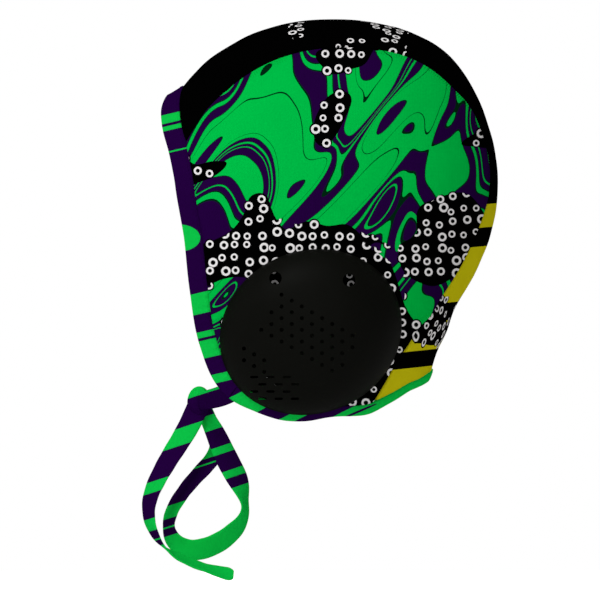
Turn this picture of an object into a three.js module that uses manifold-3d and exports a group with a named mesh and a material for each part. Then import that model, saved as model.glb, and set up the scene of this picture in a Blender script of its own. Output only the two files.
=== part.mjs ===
// Water polo cap of stretch cloth with moulded ear guards and a tied chin tape.
// Millimetres, +Z up, the face towards -Y and the wearer's left towards +X.
// The origin is the inner top of the crown, where the cap sits on a head.
import * as THREE from "three";
import { mergeVertices } from "three/addons/utils/BufferGeometryUtils.js";
import Module from "manifold-3d";

const wasm = await Module();
wasm.setup();

// Head form that the cloth follows, measured from the level of its widest part
const headHalfLength = 94.4;
const crownRise = 101.4;
const headHalfBreadth = 77;

// Cloth panels and the tape bound round their free edge
const fabricWall = 1.6;
const centreHalfWidth = 50;
const bindingWall = 2.2;
const faceBindingWidth = 10.5;
const neckBindingWidth = 6.5;
const bindingTaper = 50;
const browFlare = 4.5;
const flareBend = 1.6;
const seamGap = 0.3;

// Ear guards, placed on the side of the head
const guardHalfLength = 52.4;
const guardHalfHeight = 46;
const guardTilt = 22;
const guardBack = -13.9;
const guardDrop = 176.6;
const guardDome = 20;
const domeShoulder = 2.6;
const domeRound = 0.62;
const guardWall = 2;
const earOpeningHalfLength = 38;
const earOpeningHalfHeight = 30;
const earOpeningDrop = 4;
const ventDiameter = 7;
const perforationDiameter = 2.3;
const perforationPitch = 6.6;
const slotLength = 4.6;
const slotHeight = 1.4;
const slotPitch = 9.2;
const slotRowPitch = 4.1;

// Chin tape and its knot
const tapeWidth = 13;
const tapeWall = 1.3;
const knotBack = -77.5;
const knotDrop = 216.5;
const knotHalfDepth = 7;
const knotHalfLength = 7;
const knotHalfHeight = 9;
const tapeHang = 100;
const chinLead = 3;

// The head's outline from the side. turn is in degrees round the ear-to-ear axis, 0 up and + to the back;
// reach is the outline's distance as a share of the head's ellipse, and full is how square its section is.
const headRows = [
  { turn: -207, reach: 1.17, full: 2.45 },
  { turn: -202, reach: 1.23, full: 2.55 },
  { turn: -194, reach: 1.37, full: 2.65 },
  { turn: -183, reach: 1.6, full: 2.8 },
  { turn: -170, reach: 1.8, full: 2.8 },
  { turn: -150, reach: 1.77, full: 2.7 },
  { turn: -135, reach: 1.64, full: 2.6 },
  { turn: -120, reach: 1.51, full: 2.5 },
  { turn: -105, reach: 1.39, full: 2.4 },
  { turn: -90, reach: 1.29, full: 2.35 },
  { turn: -77, reach: 1.2, full: 2.3 },
  { turn: -65, reach: 1.125, full: 2.3 },
  { turn: -55, reach: 1.1, full: 2.3 },
  { turn: -45, reach: 1.083, full: 2.3 },
  { turn: -30, reach: 1.046, full: 2.3 },
  { turn: -15, reach: 1.016, full: 2.3 },
  { turn: 0, reach: 1, full: 2.3 },
  { turn: 15, reach: 1.011, full: 2.3 },
  { turn: 28, reach: 1.036, full: 2.3 },
  { turn: 40, reach: 1.047, full: 2.3 },
  { turn: 52, reach: 1.03, full: 2.3 },
  { turn: 66, reach: 0.998, full: 2.3 },
  { turn: 80, reach: 0.978, full: 2.3 },
  { turn: 95, reach: 0.953, full: 2.3 },
  { turn: 110, reach: 0.93, full: 2.35 },
  { turn: 122, reach: 0.92, full: 2.5 },
  { turn: 131, reach: 0.932, full: 2.6 },
  { turn: 138, reach: 0.985, full: 2.6 },
  { turn: 146, reach: 1.055, full: 2.5 },
];

// The cap's free edge from brow to nape. out is its place as a share of the outline's distance,
// and flare is how far it stands off the head, as a share of the brow's flare.
const edgeRows = [
  { turn: -60.3, out: 1, flare: 1 },
  { turn: -61.5, out: 0.997, flare: 1.05 },
  { turn: -65.2, out: 0.972, flare: 1.2 },
  { turn: -69.5, out: 0.925, flare: 1 },
  { turn: -75, out: 0.85, flare: 0.72 },
  { turn: -82, out: 0.777, flare: 0.6 },
  { turn: -90, out: 0.722, flare: 0.5 },
  { turn: -98.5, out: 0.682, flare: 0.42 },
  { turn: -108, out: 0.66, flare: 0.35 },
  { turn: -122, out: 0.664, flare: 0.25 },
  { turn: -135, out: 0.697, flare: 0.12 },
  { turn: -144, out: 0.718, flare: 0 },
  { turn: -151, out: 0.72, flare: 0 },
  { turn: -158, out: 0.707, flare: 0 },
  { turn: -165, out: 0.701, flare: 0 },
  { turn: -172, out: 0.699, flare: 0 },
  { turn: -178, out: 0.717, flare: 0 },
  { turn: -184, out: 0.765, flare: 0 },
  { turn: -190, out: 0.83, flare: 0 },
  { turn: -196.3, out: 0.885, flare: 0 },
  { turn: -202.7, out: 0.942, flare: 0 },
  { turn: -207, out: 0.985, flare: 0 },
  { turn: -208.6, out: 1, flare: 0 },
];
const cornerTurn = -149.8;

// Half width of the centre panel along its seams, as a share of its widest
const seamRows = [
  { turn: -80, half: 1.02 },
  { turn: -60, half: 0.97 },
  { turn: -45, half: 1 },
  { turn: -25, half: 0.98 },
  { turn: 0, half: 0.94 },
  { turn: 30, half: 0.87 },
  { turn: 47, half: 0.79 },
  { turn: 60, half: 0.62 },
  { turn: 75, half: 0.555 },
  { turn: 88, half: 0.6 },
  { turn: 100, half: 0.72 },
  { turn: 115, half: 0.81 },
  { turn: 130, half: 0.9 },
  { turn: 145, half: 1.03 },
  { turn: 158, half: 1.12 },
  { turn: 172, half: 1.13 },
];

// Hanging tape, from the knot. back, down and left are shares of its hang; twist is in degrees,
// 0 with the striped side facing left; wide is a share of the tape's width, less where it is gathered.
const freeEndRows = [
  { back: -0.01, down: 0.03, left: 0.02, twist: 10, wide: 0.95 },
  { back: -0.045, down: 0.11, left: 0.03, twist: 20, wide: 1 },
  { back: -0.095, down: 0.2, left: 0.05, twist: 28, wide: 1 },
  { back: -0.18, down: 0.336, left: 0.07, twist: 36, wide: 1 },
  { back: -0.25, down: 0.465, left: 0.07, twist: 44, wide: 1 },
  { back: -0.283, down: 0.56, left: 0.08, twist: 52, wide: 1 },
  { back: -0.287, down: 0.65, left: 0.09, twist: 60, wide: 1 },
  { back: -0.262, down: 0.735, left: 0.1, twist: 68, wide: 1 },
  { back: -0.213, down: 0.81, left: 0.11, twist: 82, wide: 1 },
  { back: -0.135, down: 0.872, left: 0.115, twist: 104, wide: 1 },
  { back: -0.04, down: 0.918, left: 0.115, twist: 108, wide: 1 },
  { back: 0.063, down: 0.953, left: 0.11, twist: 109, wide: 1 },
  { back: 0.16, down: 0.978, left: 0.103, twist: 124, wide: 1 },
  { back: 0.197, down: 0.985, left: 0.1, twist: 127, wide: 0.62 },
];
const loopRows = [
  { back: 0.02, down: 0.03, left: -0.01, twist: 0, wide: 0.6 },
  { back: 0.058, down: 0.11, left: -0.005, twist: -6, wide: 0.72 },
  { back: 0.095, down: 0.182, left: 0.015, twist: -8, wide: 0.87 },
  { back: 0.132, down: 0.268, left: 0.03, twist: -8, wide: 0.97 },
  { back: 0.18, down: 0.365, left: 0.035, twist: -10, wide: 1 },
  { back: 0.232, down: 0.462, left: 0.03, twist: -30, wide: 1 },
  { back: 0.258, down: 0.545, left: 0.02, twist: -70, wide: 1 },
  { back: 0.264, down: 0.625, left: 0.01, twist: -76, wide: 1 },
  { back: 0.221, down: 0.712, left: -0.005, twist: -45, wide: 1 },
  { back: 0.13, down: 0.793, left: -0.02, twist: -31, wide: 1 },
  { back: 0.018, down: 0.841, left: -0.035, twist: -24, wide: 1 },
  { back: -0.078, down: 0.843, left: -0.05, twist: -26, wide: 1 },
  { back: -0.152, down: 0.788, left: -0.06, twist: -46, wide: 1 },
  { back: -0.177, down: 0.716, left: -0.07, twist: -62, wide: 1 },
  { back: -0.162, down: 0.632, left: -0.08, twist: -58, wide: 1 },
  { back: -0.119, down: 0.553, left: -0.085, twist: -56, wide: 1 },
  { back: -0.056, down: 0.468, left: -0.088, twist: -54, wide: 1 },
  { back: 0.02, down: 0.385, left: -0.088, twist: -50, wide: 1 },
  { back: 0.092, down: 0.3, left: -0.083, twist: -40, wide: 0.85 },
  { back: 0.105, down: 0.21, left: -0.07, twist: -20, wide: 0.7 },
  { back: 0.07, down: 0.12, left: -0.05, twist: 0, wide: 0.6 },
  { back: 0.03, down: 0.03, left: -0.03, twist: 0, wide: 0.6 },
];

const colours = {
  cloth: 0x14a34a,
  centre: 0x0b0b0b,
  tape: 0x24104a,
  plastic: 0x10100e,
};

// Value of one column at a turn, by a smooth curve through the rows; round says that they go all round
function columnAt(rows, turn, key, round) {
  const count = rows.length;
  const first = rows[0].turn;
  const place = round ? first + THREE.MathUtils.euclideanModulo(turn - first, 360) : turn;
  const rowAt = (i) =>
    round ? rows[THREE.MathUtils.euclideanModulo(i, count)] : rows[THREE.MathUtils.clamp(i, 0, count - 1)];
  const turnAt = (i) => rowAt(i).turn + (round ? 360 * Math.floor(i / count) : 0);
  let low = 0;
  while (low < (round ? count - 1 : count - 2) && turnAt(low + 1) <= place) low += 1;
  const span = turnAt(low + 1) - turnAt(low);
  const slope = (i) => (rowAt(i + 1)[key] - rowAt(i - 1)[key]) / (turnAt(i + 1) - turnAt(i - 1));
  const f = (place - turnAt(low)) / span;
  return (
    (1 + 2 * f) * (1 - f) ** 2 * rowAt(low)[key] +
    f * (1 - f) ** 2 * span * slope(low) +
    f * f * (3 - 2 * f) * rowAt(low + 1)[key] +
    f * f * (f - 1) * span * slope(low + 1)
  );
}

const headColumn = (turn, key) => columnAt(headRows, turn, key, true);

// Point of the head form. round is 0 at the left side, 1 on the mid-plane and 2 at the right side.
function headPoint(turn, round) {
  const power = 2 / headColumn(turn, "full");
  const quarter = (round * Math.PI) / 2;
  const out = Math.abs(Math.sin(quarter)) ** power * headColumn(turn, "reach");
  const side = Math.sign(Math.cos(quarter)) * Math.abs(Math.cos(quarter)) ** power;
  const angle = THREE.MathUtils.degToRad(turn);
  return new THREE.Vector3(
    headHalfBreadth * side,
    headHalfLength * out * Math.sin(angle),
    crownRise * (out * Math.cos(angle) - 1),
  );
}

function headNormal(turn, round) {
  const fromSide = Math.min(round, 2 - round);
  if (fromSide < 0.01) return new THREE.Vector3(round < 1 ? 1 : -1, 0, 0);
  const step = Math.min(0.02, fromSide / 2);
  const along = headPoint(turn + 1, round).sub(headPoint(turn - 1, round));
  const across = headPoint(turn, round + step).sub(headPoint(turn, round - step));
  return along.cross(across).normalize();
}

const skinPoint = (turn, round, depth) =>
  headPoint(turn, round).addScaledVector(headNormal(turn, round), depth);

// Turn and round of the place on the head form that lies nearest under a point
function placeOf(point) {
  const back = point.y / headHalfLength;
  const up = point.z / crownRise + 1;
  const turn = THREE.MathUtils.radToDeg(Math.atan2(back, up));
  const power = headColumn(turn, "full") / 2;
  const out = (Math.hypot(back, up) / headColumn(turn, "reach")) ** power;
  const side = (Math.abs(point.x) / headHalfBreadth) ** power;
  const quarter = Math.atan2(out, side);
  return { turn, round: ((point.x < 0 ? Math.PI - quarter : quarter) * 2) / Math.PI };
}

// X of the left skin at a place seen from the side
function sideAt(y, z, depth) {
  const back = y / headHalfLength;
  const up = z / crownRise + 1;
  const turn = THREE.MathUtils.radToDeg(Math.atan2(back, up));
  const out = Math.hypot(back, up) / headColumn(turn, "reach");
  const round = (2 / Math.PI) * Math.asin(out ** (headColumn(turn, "full") / 2));
  return headPoint(turn, round).x + depth / headNormal(turn, round).x;
}

// Moves a place across the head by a distance on the skin
function moveRound(turn, round, distance) {
  const step = 0.005;
  const rate = headPoint(turn, round + step).distanceTo(headPoint(turn, round - step)) / (2 * step);
  return round + distance / rate;
}

// The free edge as places along the left half, at even distances from brow to nape
function edgePlaces(count) {
  const curve = new THREE.CatmullRomCurve3(
    edgeRows.map(({ turn, out, flare }) => {
      const round = (2 / Math.PI) * Math.asin(out ** (headColumn(turn, "full") / 2));
      return new THREE.Vector3(turn, round, flare);
    }),
  );
  const fine = 4000;
  const dense = curve.getPoints(fine);
  const lengths = [0];
  for (let i = 1; i <= fine; i += 1) {
    const before = headPoint(dense[i - 1].x, dense[i - 1].y);
    lengths.push(lengths[i - 1] + headPoint(dense[i].x, dense[i].y).distanceTo(before));
  }
  const places = [];
  let k = 0;
  for (let i = 0; i <= count; i += 1) {
    const wanted = (lengths[fine] * i) / count;
    while (k < fine - 1 && lengths[k + 1] < wanted) k += 1;
    const mid = dense[k].clone().lerp(dense[k + 1], (wanted - lengths[k]) / (lengths[k + 1] - lengths[k]));
    places.push({ turn: mid.x, round: mid.y, flare: mid.z * browFlare });
  }
  return places;
}

const edgeCount = 600;
const edge = edgePlaces(edgeCount);
const cornerStation = edge.findIndex((place) => place.turn <= cornerTurn);

// Width of the binding that shows at a station; behind the jaw corner it narrows to the neck's
function bindingWidthAt(i) {
  const corner = edge[cornerStation];
  const here = edge[Math.max(i, cornerStation)];
  const run = headPoint(here.turn, here.round).distanceTo(headPoint(corner.turn, corner.round));
  const share = THREE.MathUtils.smoothstep(run, 0, bindingTaper);
  return THREE.MathUtils.lerp(faceBindingWidth, neckBindingWidth, share);
}

// Direction from the free edge in towards the cloth, on the skin
function inwardAt(i) {
  const here = edge[i];
  const before = edge[Math.max(i - 4, 0)];
  const after = edge[Math.min(i + 4, edgeCount)];
  const along = headPoint(after.turn, after.round).sub(headPoint(before.turn, before.round));
  if (i === 0 || i === edgeCount) along.set(i === 0 ? 1 : -1, 0, 0);
  return along.cross(headNormal(here.turn, here.round)).normalize().negate();
}

// Place a distance in from the free edge
function insideEdge(i, distance) {
  if (distance === 0) return edge[i];
  const from = headPoint(edge[i].turn, edge[i].round);
  const place = placeOf(from.addScaledVector(inwardAt(i), distance));
  const turn = place.turn > 90 ? place.turn - 360 : place.turn;
  return { turn, round: i === 0 || i === edgeCount ? 1 : place.round };
}

const clothEdge = edge.map((place, i) => insideEdge(i, bindingWidthAt(i)));

// Round of the cloth's edge under the binding at a turn, past the mid-plane where the cloth has no edge
function clothRound(turn) {
  const place = turn > 0 ? turn - 360 : turn;
  if (place >= clothEdge[0].turn || place <= clothEdge[edgeCount].turn) return 2;
  let i = 0;
  while (i < edgeCount - 1 && clothEdge[i + 1].turn > place) i += 1;
  const f = (clothEdge[i].turn - place) / (clothEdge[i].turn - clothEdge[i + 1].turn);
  return THREE.MathUtils.lerp(clothEdge[i].round, clothEdge[i + 1].round, THREE.MathUtils.clamp(f, 0, 1));
}

// Round of the left seam between the centre panel and the side panel
function seamRound(turn) {
  const half = (centreHalfWidth * columnAt(seamRows, turn, "half", false)) / headHalfBreadth;
  const power = headColumn(turn, "full") / 2;
  return (2 / Math.PI) * Math.acos(half ** power);
}

// Turn between two turns where a function of the turn changes sign
function crossing(from, to, difference) {
  let low = from;
  let high = to;
  for (let i = 0; i < 50; i += 1) {
    const mid = (low + high) / 2;
    if (difference(mid) > 0 === difference(low) > 0) low = mid;
    else high = mid;
  }
  return (low + high) / 2;
}

// The turn where a line down the centre panel meets the cloth's edge; across is 0 on the mid-plane and 1 on the seam
const lineRound = (turn, across) => 1 - across * (1 - seamRound(turn));
const frontTurn = (across) =>
  crossing(clothEdge[0].turn + 0.5, -85, (turn) => clothRound(turn) - lineRound(turn, across));
const backTurn = (across) =>
  crossing(clothEdge[edgeCount].turn + 359.5, 175, (turn) => clothRound(turn) - lineRound(turn, across));

// One closed body from a list of triangles, with its faces turned out
function closedBody(triangles) {
  const positions = triangles.flat().flatMap((p) => [p.x, p.y, p.z]);
  const raw = new THREE.BufferGeometry();
  raw.setAttribute("position", new THREE.Float32BufferAttribute(positions, 3));
  const merged = mergeVertices(raw, 1e-3);
  const index = [];
  for (let i = 0; i < merged.index.count; i += 3) {
    const [a, b, c] = [0, 1, 2].map((k) => merged.index.getX(i + k));
    if (a !== b && b !== c && c !== a) index.push(a, b, c);
  }
  merged.setIndex(index);
  const at = (i) => new THREE.Vector3().fromBufferAttribute(merged.attributes.position, index[i]);
  let volume = 0;
  for (let i = 0; i < index.length; i += 3) volume += at(i).dot(at(i + 1).cross(at(i + 2)));
  if (volume < 0) {
    for (let i = 0; i < index.length; i += 3) [index[i], index[i + 1]] = [index[i + 1], index[i]];
    merged.setIndex(index);
  }
  return merged;
}

const quad = (a, b, c, d) => [
  [a, b, c],
  [a, c, d],
];

// A wall between two skins over a grid. pointAt(i, j, side) gives its points, side 0 inside and 1 outside,
// and ring says that the columns go all round.
function wallBody(columns, rows, pointAt, ring) {
  const grid = [0, 1].map((side) =>
    Array.from({ length: columns + 1 }, (_, i) =>
      Array.from({ length: rows + 1 }, (__, j) => pointAt(ring && i === columns ? 0 : i, j, side)),
    ),
  );
  const [inner, outer] = grid;
  const triangles = [];
  for (let i = 0; i < columns; i += 1) {
    for (let j = 0; j < rows; j += 1) {
      triangles.push(...quad(outer[i][j], outer[i + 1][j], outer[i + 1][j + 1], outer[i][j + 1]));
      triangles.push(...quad(inner[i][j], inner[i][j + 1], inner[i + 1][j + 1], inner[i + 1][j]));
    }
    triangles.push(...quad(outer[i][rows], outer[i + 1][rows], inner[i + 1][rows], inner[i][rows]));
    triangles.push(...quad(inner[i][0], inner[i + 1][0], outer[i + 1][0], outer[i][0]));
  }
  if (!ring) {
    for (let j = 0; j < rows; j += 1) {
      triangles.push(...quad(outer[0][j], outer[0][j + 1], inner[0][j + 1], inner[0][j]));
      triangles.push(
        ...quad(inner[columns][j], inner[columns][j + 1], outer[columns][j + 1], outer[columns][j]),
      );
    }
  }
  return closedBody(triangles);
}

function solidOf(geometry) {
  const bare = geometry.clone();
  bare.deleteAttribute("normal");
  bare.deleteAttribute("uv");
  const merged = mergeVertices(bare, 1e-4);
  return new wasm.Manifold(
    new wasm.Mesh({
      numProp: 3,
      vertProperties: new Float32Array(merged.attributes.position.array),
      triVerts: new Uint32Array(merged.index.array),
    }),
  );
}

function geometryOf(solid) {
  const mesh = solid.getMesh();
  const geometry = new THREE.BufferGeometry();
  geometry.setAttribute("position", new THREE.BufferAttribute(new Float32Array(mesh.vertProperties), 3));
  geometry.setIndex(new THREE.BufferAttribute(new Uint32Array(mesh.triVerts), 1));
  return geometry;
}

// The same body on the other side of the mid-plane
function mirrored(geometry) {
  const copy = geometry.clone().applyMatrix4(new THREE.Matrix4().makeScale(-1, 1, 1));
  const index = Array.from(copy.index.array);
  for (let i = 0; i < index.length; i += 3) [index[i], index[i + 1]] = [index[i + 1], index[i]];
  copy.setIndex(index);
  return copy;
}

// An outline in the side view, given back and up from a point, pushed through the left side of the cap
function sideCutter(shape, back, up) {
  const depth = headHalfBreadth + guardDome;
  const body = new THREE.ExtrudeGeometry(shape, { depth, bevelEnabled: false, curveSegments: 9 });
  const turned = new THREE.Matrix4().makeBasis(
    new THREE.Vector3(0, 1, 0),
    new THREE.Vector3(0, 0, 1),
    new THREE.Vector3(1, 0, 0),
  );
  return body.applyMatrix4(turned).translate(headHalfBreadth / 4, back, up);
}

const guardUp = -guardDrop;
const guardAngle = THREE.MathUtils.degToRad(guardTilt);

const seamSteps = 26;

function sidePanel() {
  const front = frontTurn(1);
  const back = backTurn(1);
  const lowerSteps = 24;
  const turns = [];
  for (let i = 0; i < seamSteps; i += 1) turns.push(THREE.MathUtils.lerp(back, front, i / seamSteps));
  for (let i = 0; i < lowerSteps; i += 1) {
    turns.push(THREE.MathUtils.lerp(front, back - 360, i / lowerSteps));
  }
  const rows = 6;
  const wall = wallBody(
    turns.length,
    rows,
    (i, j, side) => {
      const turn = turns[i];
      const seam = i <= seamSteps ? moveRound(turn, seamRound(turn), -seamGap / 2) : 1;
      const limit = Math.min(seam, clothRound(turn));
      return skinPoint(turn, (limit * j) / rows, side * fabricWall);
    },
    true,
  );
  const hole = new THREE.Shape();
  hole.absellipse(0, 0, earOpeningHalfLength, earOpeningHalfHeight, 0, 2 * Math.PI, false, guardAngle);
  const cutter = sideCutter(hole, guardBack, guardUp - earOpeningDrop);
  return clearOfBindings(solidOf(wall).subtract(solidOf(cutter)));
}

function centrePanel() {
  const columns = 8;
  const ends = Array.from({ length: columns + 1 }, (_, i) => {
    const across = Math.abs((2 * i) / columns - 1);
    const last = frontTurn(across);
    return { across, first: backTurn(across), last };
  });
  const wall = wallBody(
    columns,
    seamSteps,
    (i, j, side) => {
      const { across, first, last } = ends[i];
      const turn = THREE.MathUtils.lerp(first, last, j / seamSteps);
      const seam = moveRound(turn, seamRound(turn), seamGap / 2);
      const left = 1 - across * (1 - seam);
      return skinPoint(turn, i * 2 < columns ? left : 2 - left, side * fabricWall);
    },
    false,
  );
  return clearOfBindings(solidOf(wall));
}

// The tape bound round the free edge, between two stations of the left half and their mirror images.
// gap widens it and spare thickens it, to cut the cloth clear of it.
function bindingStrip(stations, gap, spare) {
  const across = 2;
  const half = stations.map((i) => {
    const shares = Array.from({ length: across + 1 }, (_, j) => j / across);
    return [0, 1].map((side) =>
      shares.map((share) => {
        const place = insideEdge(i, (bindingWidthAt(i) + gap) * (1 - share));
        const stand = edge[i].flare * share ** flareBend;
        const depth = stand + (side ? bindingWall + spare : -spare);
        const point = skinPoint(place.turn, place.round, depth);
        if (i === 0 || i === edgeCount) point.x = 0;
        return point;
      }),
    );
  });
  const other = half
    .slice(1)
    .map((sides) => sides.map((points) => points.map((p) => new THREE.Vector3(-p.x, p.y, p.z))));
  const all = [...other.reverse(), ...half];
  return wallBody(all.length - 1, across, (i, j, side) => all[i][side][j], false);
}

function stationsBetween(from, to, steps) {
  return Array.from({ length: steps + 1 }, (_, i) => Math.round(from + ((to - from) * i) / steps));
}

const faceStations = stationsBetween(0, cornerStation, 24);
const neckStations = stationsBetween(edgeCount, cornerStation + 1, 20);

// Cloth cut back from both bindings
function clearOfBindings(cloth) {
  return geometryOf(
    cloth
      .subtract(solidOf(bindingStrip(faceStations, seamGap, fabricWall)))
      .subtract(solidOf(bindingStrip(neckStations, seamGap, fabricWall))),
  );
}

// Outline point of a guard seen from the side, reach 0 at its middle and 1 at its rim
function guardPlace(reach, angle, inset) {
  const long = (guardHalfLength - inset) * reach * Math.cos(angle);
  const high = (guardHalfHeight - inset) * reach * Math.sin(angle);
  return {
    y: guardBack + long * Math.cos(guardAngle) - high * Math.sin(guardAngle),
    z: guardUp + long * Math.sin(guardAngle) + high * Math.cos(guardAngle),
  };
}

// Staggered fields of a guard's perforations. back and up lead from its middle to the first hole,
// as shares of its half length and half height. lift is how far the right guard's rows stand above the left's,
// as a share of their pitch, so that no hole lines up with one in the other guard.
const holeFields = [
  { back: -0.315, up: 0.46, rows: 5, columns: 8, lift: 0.5, slot: false },
  { back: -0.72, up: -0.2, rows: 2, columns: 3, lift: 0.35, slot: false },
  { back: -0.61, up: -0.55, rows: 4, columns: 3, lift: 0.25, slot: true },
];
const holeSlant = THREE.MathUtils.degToRad(-30);

// Places of a guard's perforations, back and up from its middle; the round ones run aslant and the slots level
function perforations(lifted) {
  const places = [];
  for (const { back, up, rows, columns, lift, slot } of holeFields) {
    const pitch = slot ? slotPitch : perforationPitch;
    const rowPitch = slot ? slotRowPitch : (perforationPitch * Math.sqrt(3)) / 2;
    const angle = slot ? 0 : holeSlant;
    for (let row = 0; row < rows; row += 1) {
      for (let column = 0; column < columns; column += 1) {
        const along = pitch * (column + (row % 2) / 2);
        const down = rowPitch * (lifted ? row - lift : row);
        places.push({
          back: guardHalfLength * back + along * Math.cos(angle) + down * Math.sin(angle),
          up: guardHalfHeight * up + along * Math.sin(angle) - down * Math.cos(angle),
          slot,
        });
      }
    }
  }
  return places;
}

function roundShape(diameter, sides) {
  const shape = new THREE.Shape();
  for (let i = 0; i < sides; i += 1) {
    const angle = (2 * Math.PI * i) / sides;
    const x = (diameter / 2) * Math.cos(angle);
    const y = (diameter / 2) * Math.sin(angle);
    if (i === 0) shape.moveTo(x, y);
    else shape.lineTo(x, y);
  }
  return shape;
}

function slotShape() {
  const shape = new THREE.Shape();
  shape.moveTo(-slotLength / 2, -slotHeight / 2);
  shape.lineTo(slotLength / 2, -slotHeight / 2);
  shape.lineTo(slotLength / 2, slotHeight / 2);
  shape.lineTo(-slotLength / 2, slotHeight / 2);
  return shape;
}

function earGuard(lifted) {
  const seat = bindingWall + seamGap;
  const columns = 26;
  const rows = 5;
  const shell = wallBody(
    columns,
    rows,
    (i, j, side) => {
      const reach = Math.sin((j / rows) * (Math.PI / 2));
      const angle = (2 * Math.PI * i) / columns;
      const place = guardPlace(reach, angle, side ? 0 : guardWall);
      const height = side ? guardDome : guardDome - guardWall;
      const dome = height * (1 - reach ** domeShoulder) ** domeRound;
      return new THREE.Vector3(sideAt(place.y, place.z, seat) + dome, place.y, place.z);
    },
    true,
  );
  const vents = [
    { back: -0.38, up: 0.664 },
    { back: 0.411, up: 0.64 },
  ].map(({ back, up }) =>
    sideCutter(
      roundShape(ventDiameter, 10),
      guardBack + guardHalfLength * back,
      guardUp + guardHalfHeight * up,
    ),
  );
  const small = perforations(lifted).map(({ back, up, slot }) =>
    sideCutter(slot ? slotShape() : roundShape(perforationDiameter, 4), guardBack + back, guardUp + up),
  );
  let guard = solidOf(shell);
  for (const cutter of [...vents, ...small]) guard = guard.subtract(solidOf(cutter));
  return geometryOf(guard);
}

// A flat tape along stations, each with a middle point, a direction across the tape and the width there
function tapeBody(stations) {
  const triangles = [];
  const sections = stations.map(({ point, across, width }, i) => {
    const before = stations[Math.max(i - 1, 0)].point;
    const after = stations[Math.min(i + 1, stations.length - 1)].point;
    const along = after.clone().sub(before).normalize();
    const wide = across.clone().addScaledVector(along, -across.dot(along)).normalize();
    const thick = along.clone().cross(wide);
    const corner = (w, t) =>
      point
        .clone()
        .addScaledVector(wide, (w * width) / 2)
        .addScaledVector(thick, (t * tapeWall) / 2);
    return [corner(-1, -1), corner(1, -1), corner(1, 1), corner(-1, 1)];
  });
  for (let i = 0; i + 1 < sections.length; i += 1) {
    for (let k = 0; k < 4; k += 1) {
      const next = (k + 1) % 4;
      triangles.push(...quad(sections[i][k], sections[i][next], sections[i + 1][next], sections[i + 1][k]));
    }
  }
  const first = sections[0];
  const last = sections[sections.length - 1];
  triangles.push(...quad(first[3], first[2], first[1], first[0]));
  triangles.push(...quad(...last));
  return closedBody(triangles);
}

const knotMiddle = new THREE.Vector3(0, knotBack, -knotDrop);

// The knot as a rounded lump; swell moves its surface out
function knotBody(swell) {
  const ball = new THREE.SphereGeometry(1, 14, 9);
  ball.scale(knotHalfDepth + swell, knotHalfLength + swell, knotHalfHeight + swell);
  ball.translate(knotMiddle.x, knotMiddle.y, knotMiddle.z);
  return solidOf(ball);
}

function hangingTape(rows, steps) {
  const curve = new THREE.CatmullRomCurve3(
    rows.map(({ back, down, left }) =>
      new THREE.Vector3(left, back, -down).multiplyScalar(tapeHang).add(knotMiddle),
    ),
  );
  const stations = [];
  const sideways = new THREE.Vector3(1, 0, 0);
  for (let i = 0; i <= steps; i += 1) {
    const share = i / steps;
    const row = share * (rows.length - 1);
    const low = Math.min(Math.floor(row), rows.length - 2);
    const between = (key) => THREE.MathUtils.lerp(rows[low][key], rows[low + 1][key], row - low);
    const along = curve.getTangent(share);
    const flat = sideways.clone().cross(along).normalize();
    stations.push({
      point: curve.getPoint(share),
      across: flat.applyAxisAngle(along, THREE.MathUtils.degToRad(between("twist"))),
      width: tapeWidth * between("wide"),
    });
  }
  return geometryOf(solidOf(tapeBody(stations)).subtract(knotBody(seamGap)));
}

// The chin tape from the jaw corner to the knot
function chinTape() {
  const here = edge[cornerStation];
  const before = edge[cornerStation - 12];
  const after = edge[cornerStation + 12];
  const level = bindingWall / 2;
  const root = skinPoint(here.turn, here.round, level);
  const along = skinPoint(after.turn, after.round, level).sub(skinPoint(before.turn, before.round, level));
  const out = inwardAt(cornerStation).negate();
  const start = root.clone().addScaledVector(out, 3 * seamGap);
  const steps = 12;
  const curve = new THREE.CubicBezierCurve3(
    start,
    start.clone().addScaledVector(out, chinLead),
    knotMiddle.clone().add(new THREE.Vector3(headHalfBreadth / 3, -knotHalfLength / 3, knotHalfHeight / 8)),
    knotMiddle,
  );
  const down = new THREE.Vector3(0, 0.15, -1);
  const stations = [];
  for (let i = 0; i <= steps; i += 1) {
    const share = i / steps;
    stations.push({
      point: curve.getPoint(share),
      across: along
        .clone()
        .normalize()
        .lerp(down, Math.min(1, share * 1.3)),
      width: tapeWidth,
    });
  }
  return geometryOf(solidOf(tapeBody(stations)).subtract(knotBody(seamGap)));
}

const group = new THREE.Group();

function addPiece(name, geometry, colour, roughness) {
  const material = new THREE.MeshStandardMaterial({ color: colour, roughness, metalness: 0 });
  const mesh = new THREE.Mesh(geometry, material);
  mesh.name = name;
  group.add(mesh);
}

const panel = sidePanel();
const chin = chinTape();
addPiece("side_panel_left", panel, colours.cloth, 0.8);
addPiece("side_panel_right", mirrored(panel), colours.cloth, 0.8);
addPiece("centre_panel", centrePanel(), colours.centre, 0.8);
addPiece("face_binding", bindingStrip(faceStations, 0, 0), colours.tape, 0.75);
addPiece("neck_binding", bindingStrip(neckStations, 0, 0), colours.tape, 0.75);
addPiece("ear_guard_left", earGuard(false), colours.plastic, 0.6);
addPiece("ear_guard_right", mirrored(earGuard(true)), colours.plastic, 0.6);
addPiece("strap_left", chin, colours.tape, 0.75);
addPiece("strap_right", mirrored(chin), colours.tape, 0.75);
addPiece("strap_knot", geometryOf(knotBody(0)), colours.tape, 0.75);
addPiece("strap_loop", hangingTape(loopRows, 46), colours.tape, 0.75);
addPiece("strap_free_end", hangingTape(freeEndRows, 26), colours.tape, 0.75);

export default group;
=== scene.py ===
import math

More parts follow.
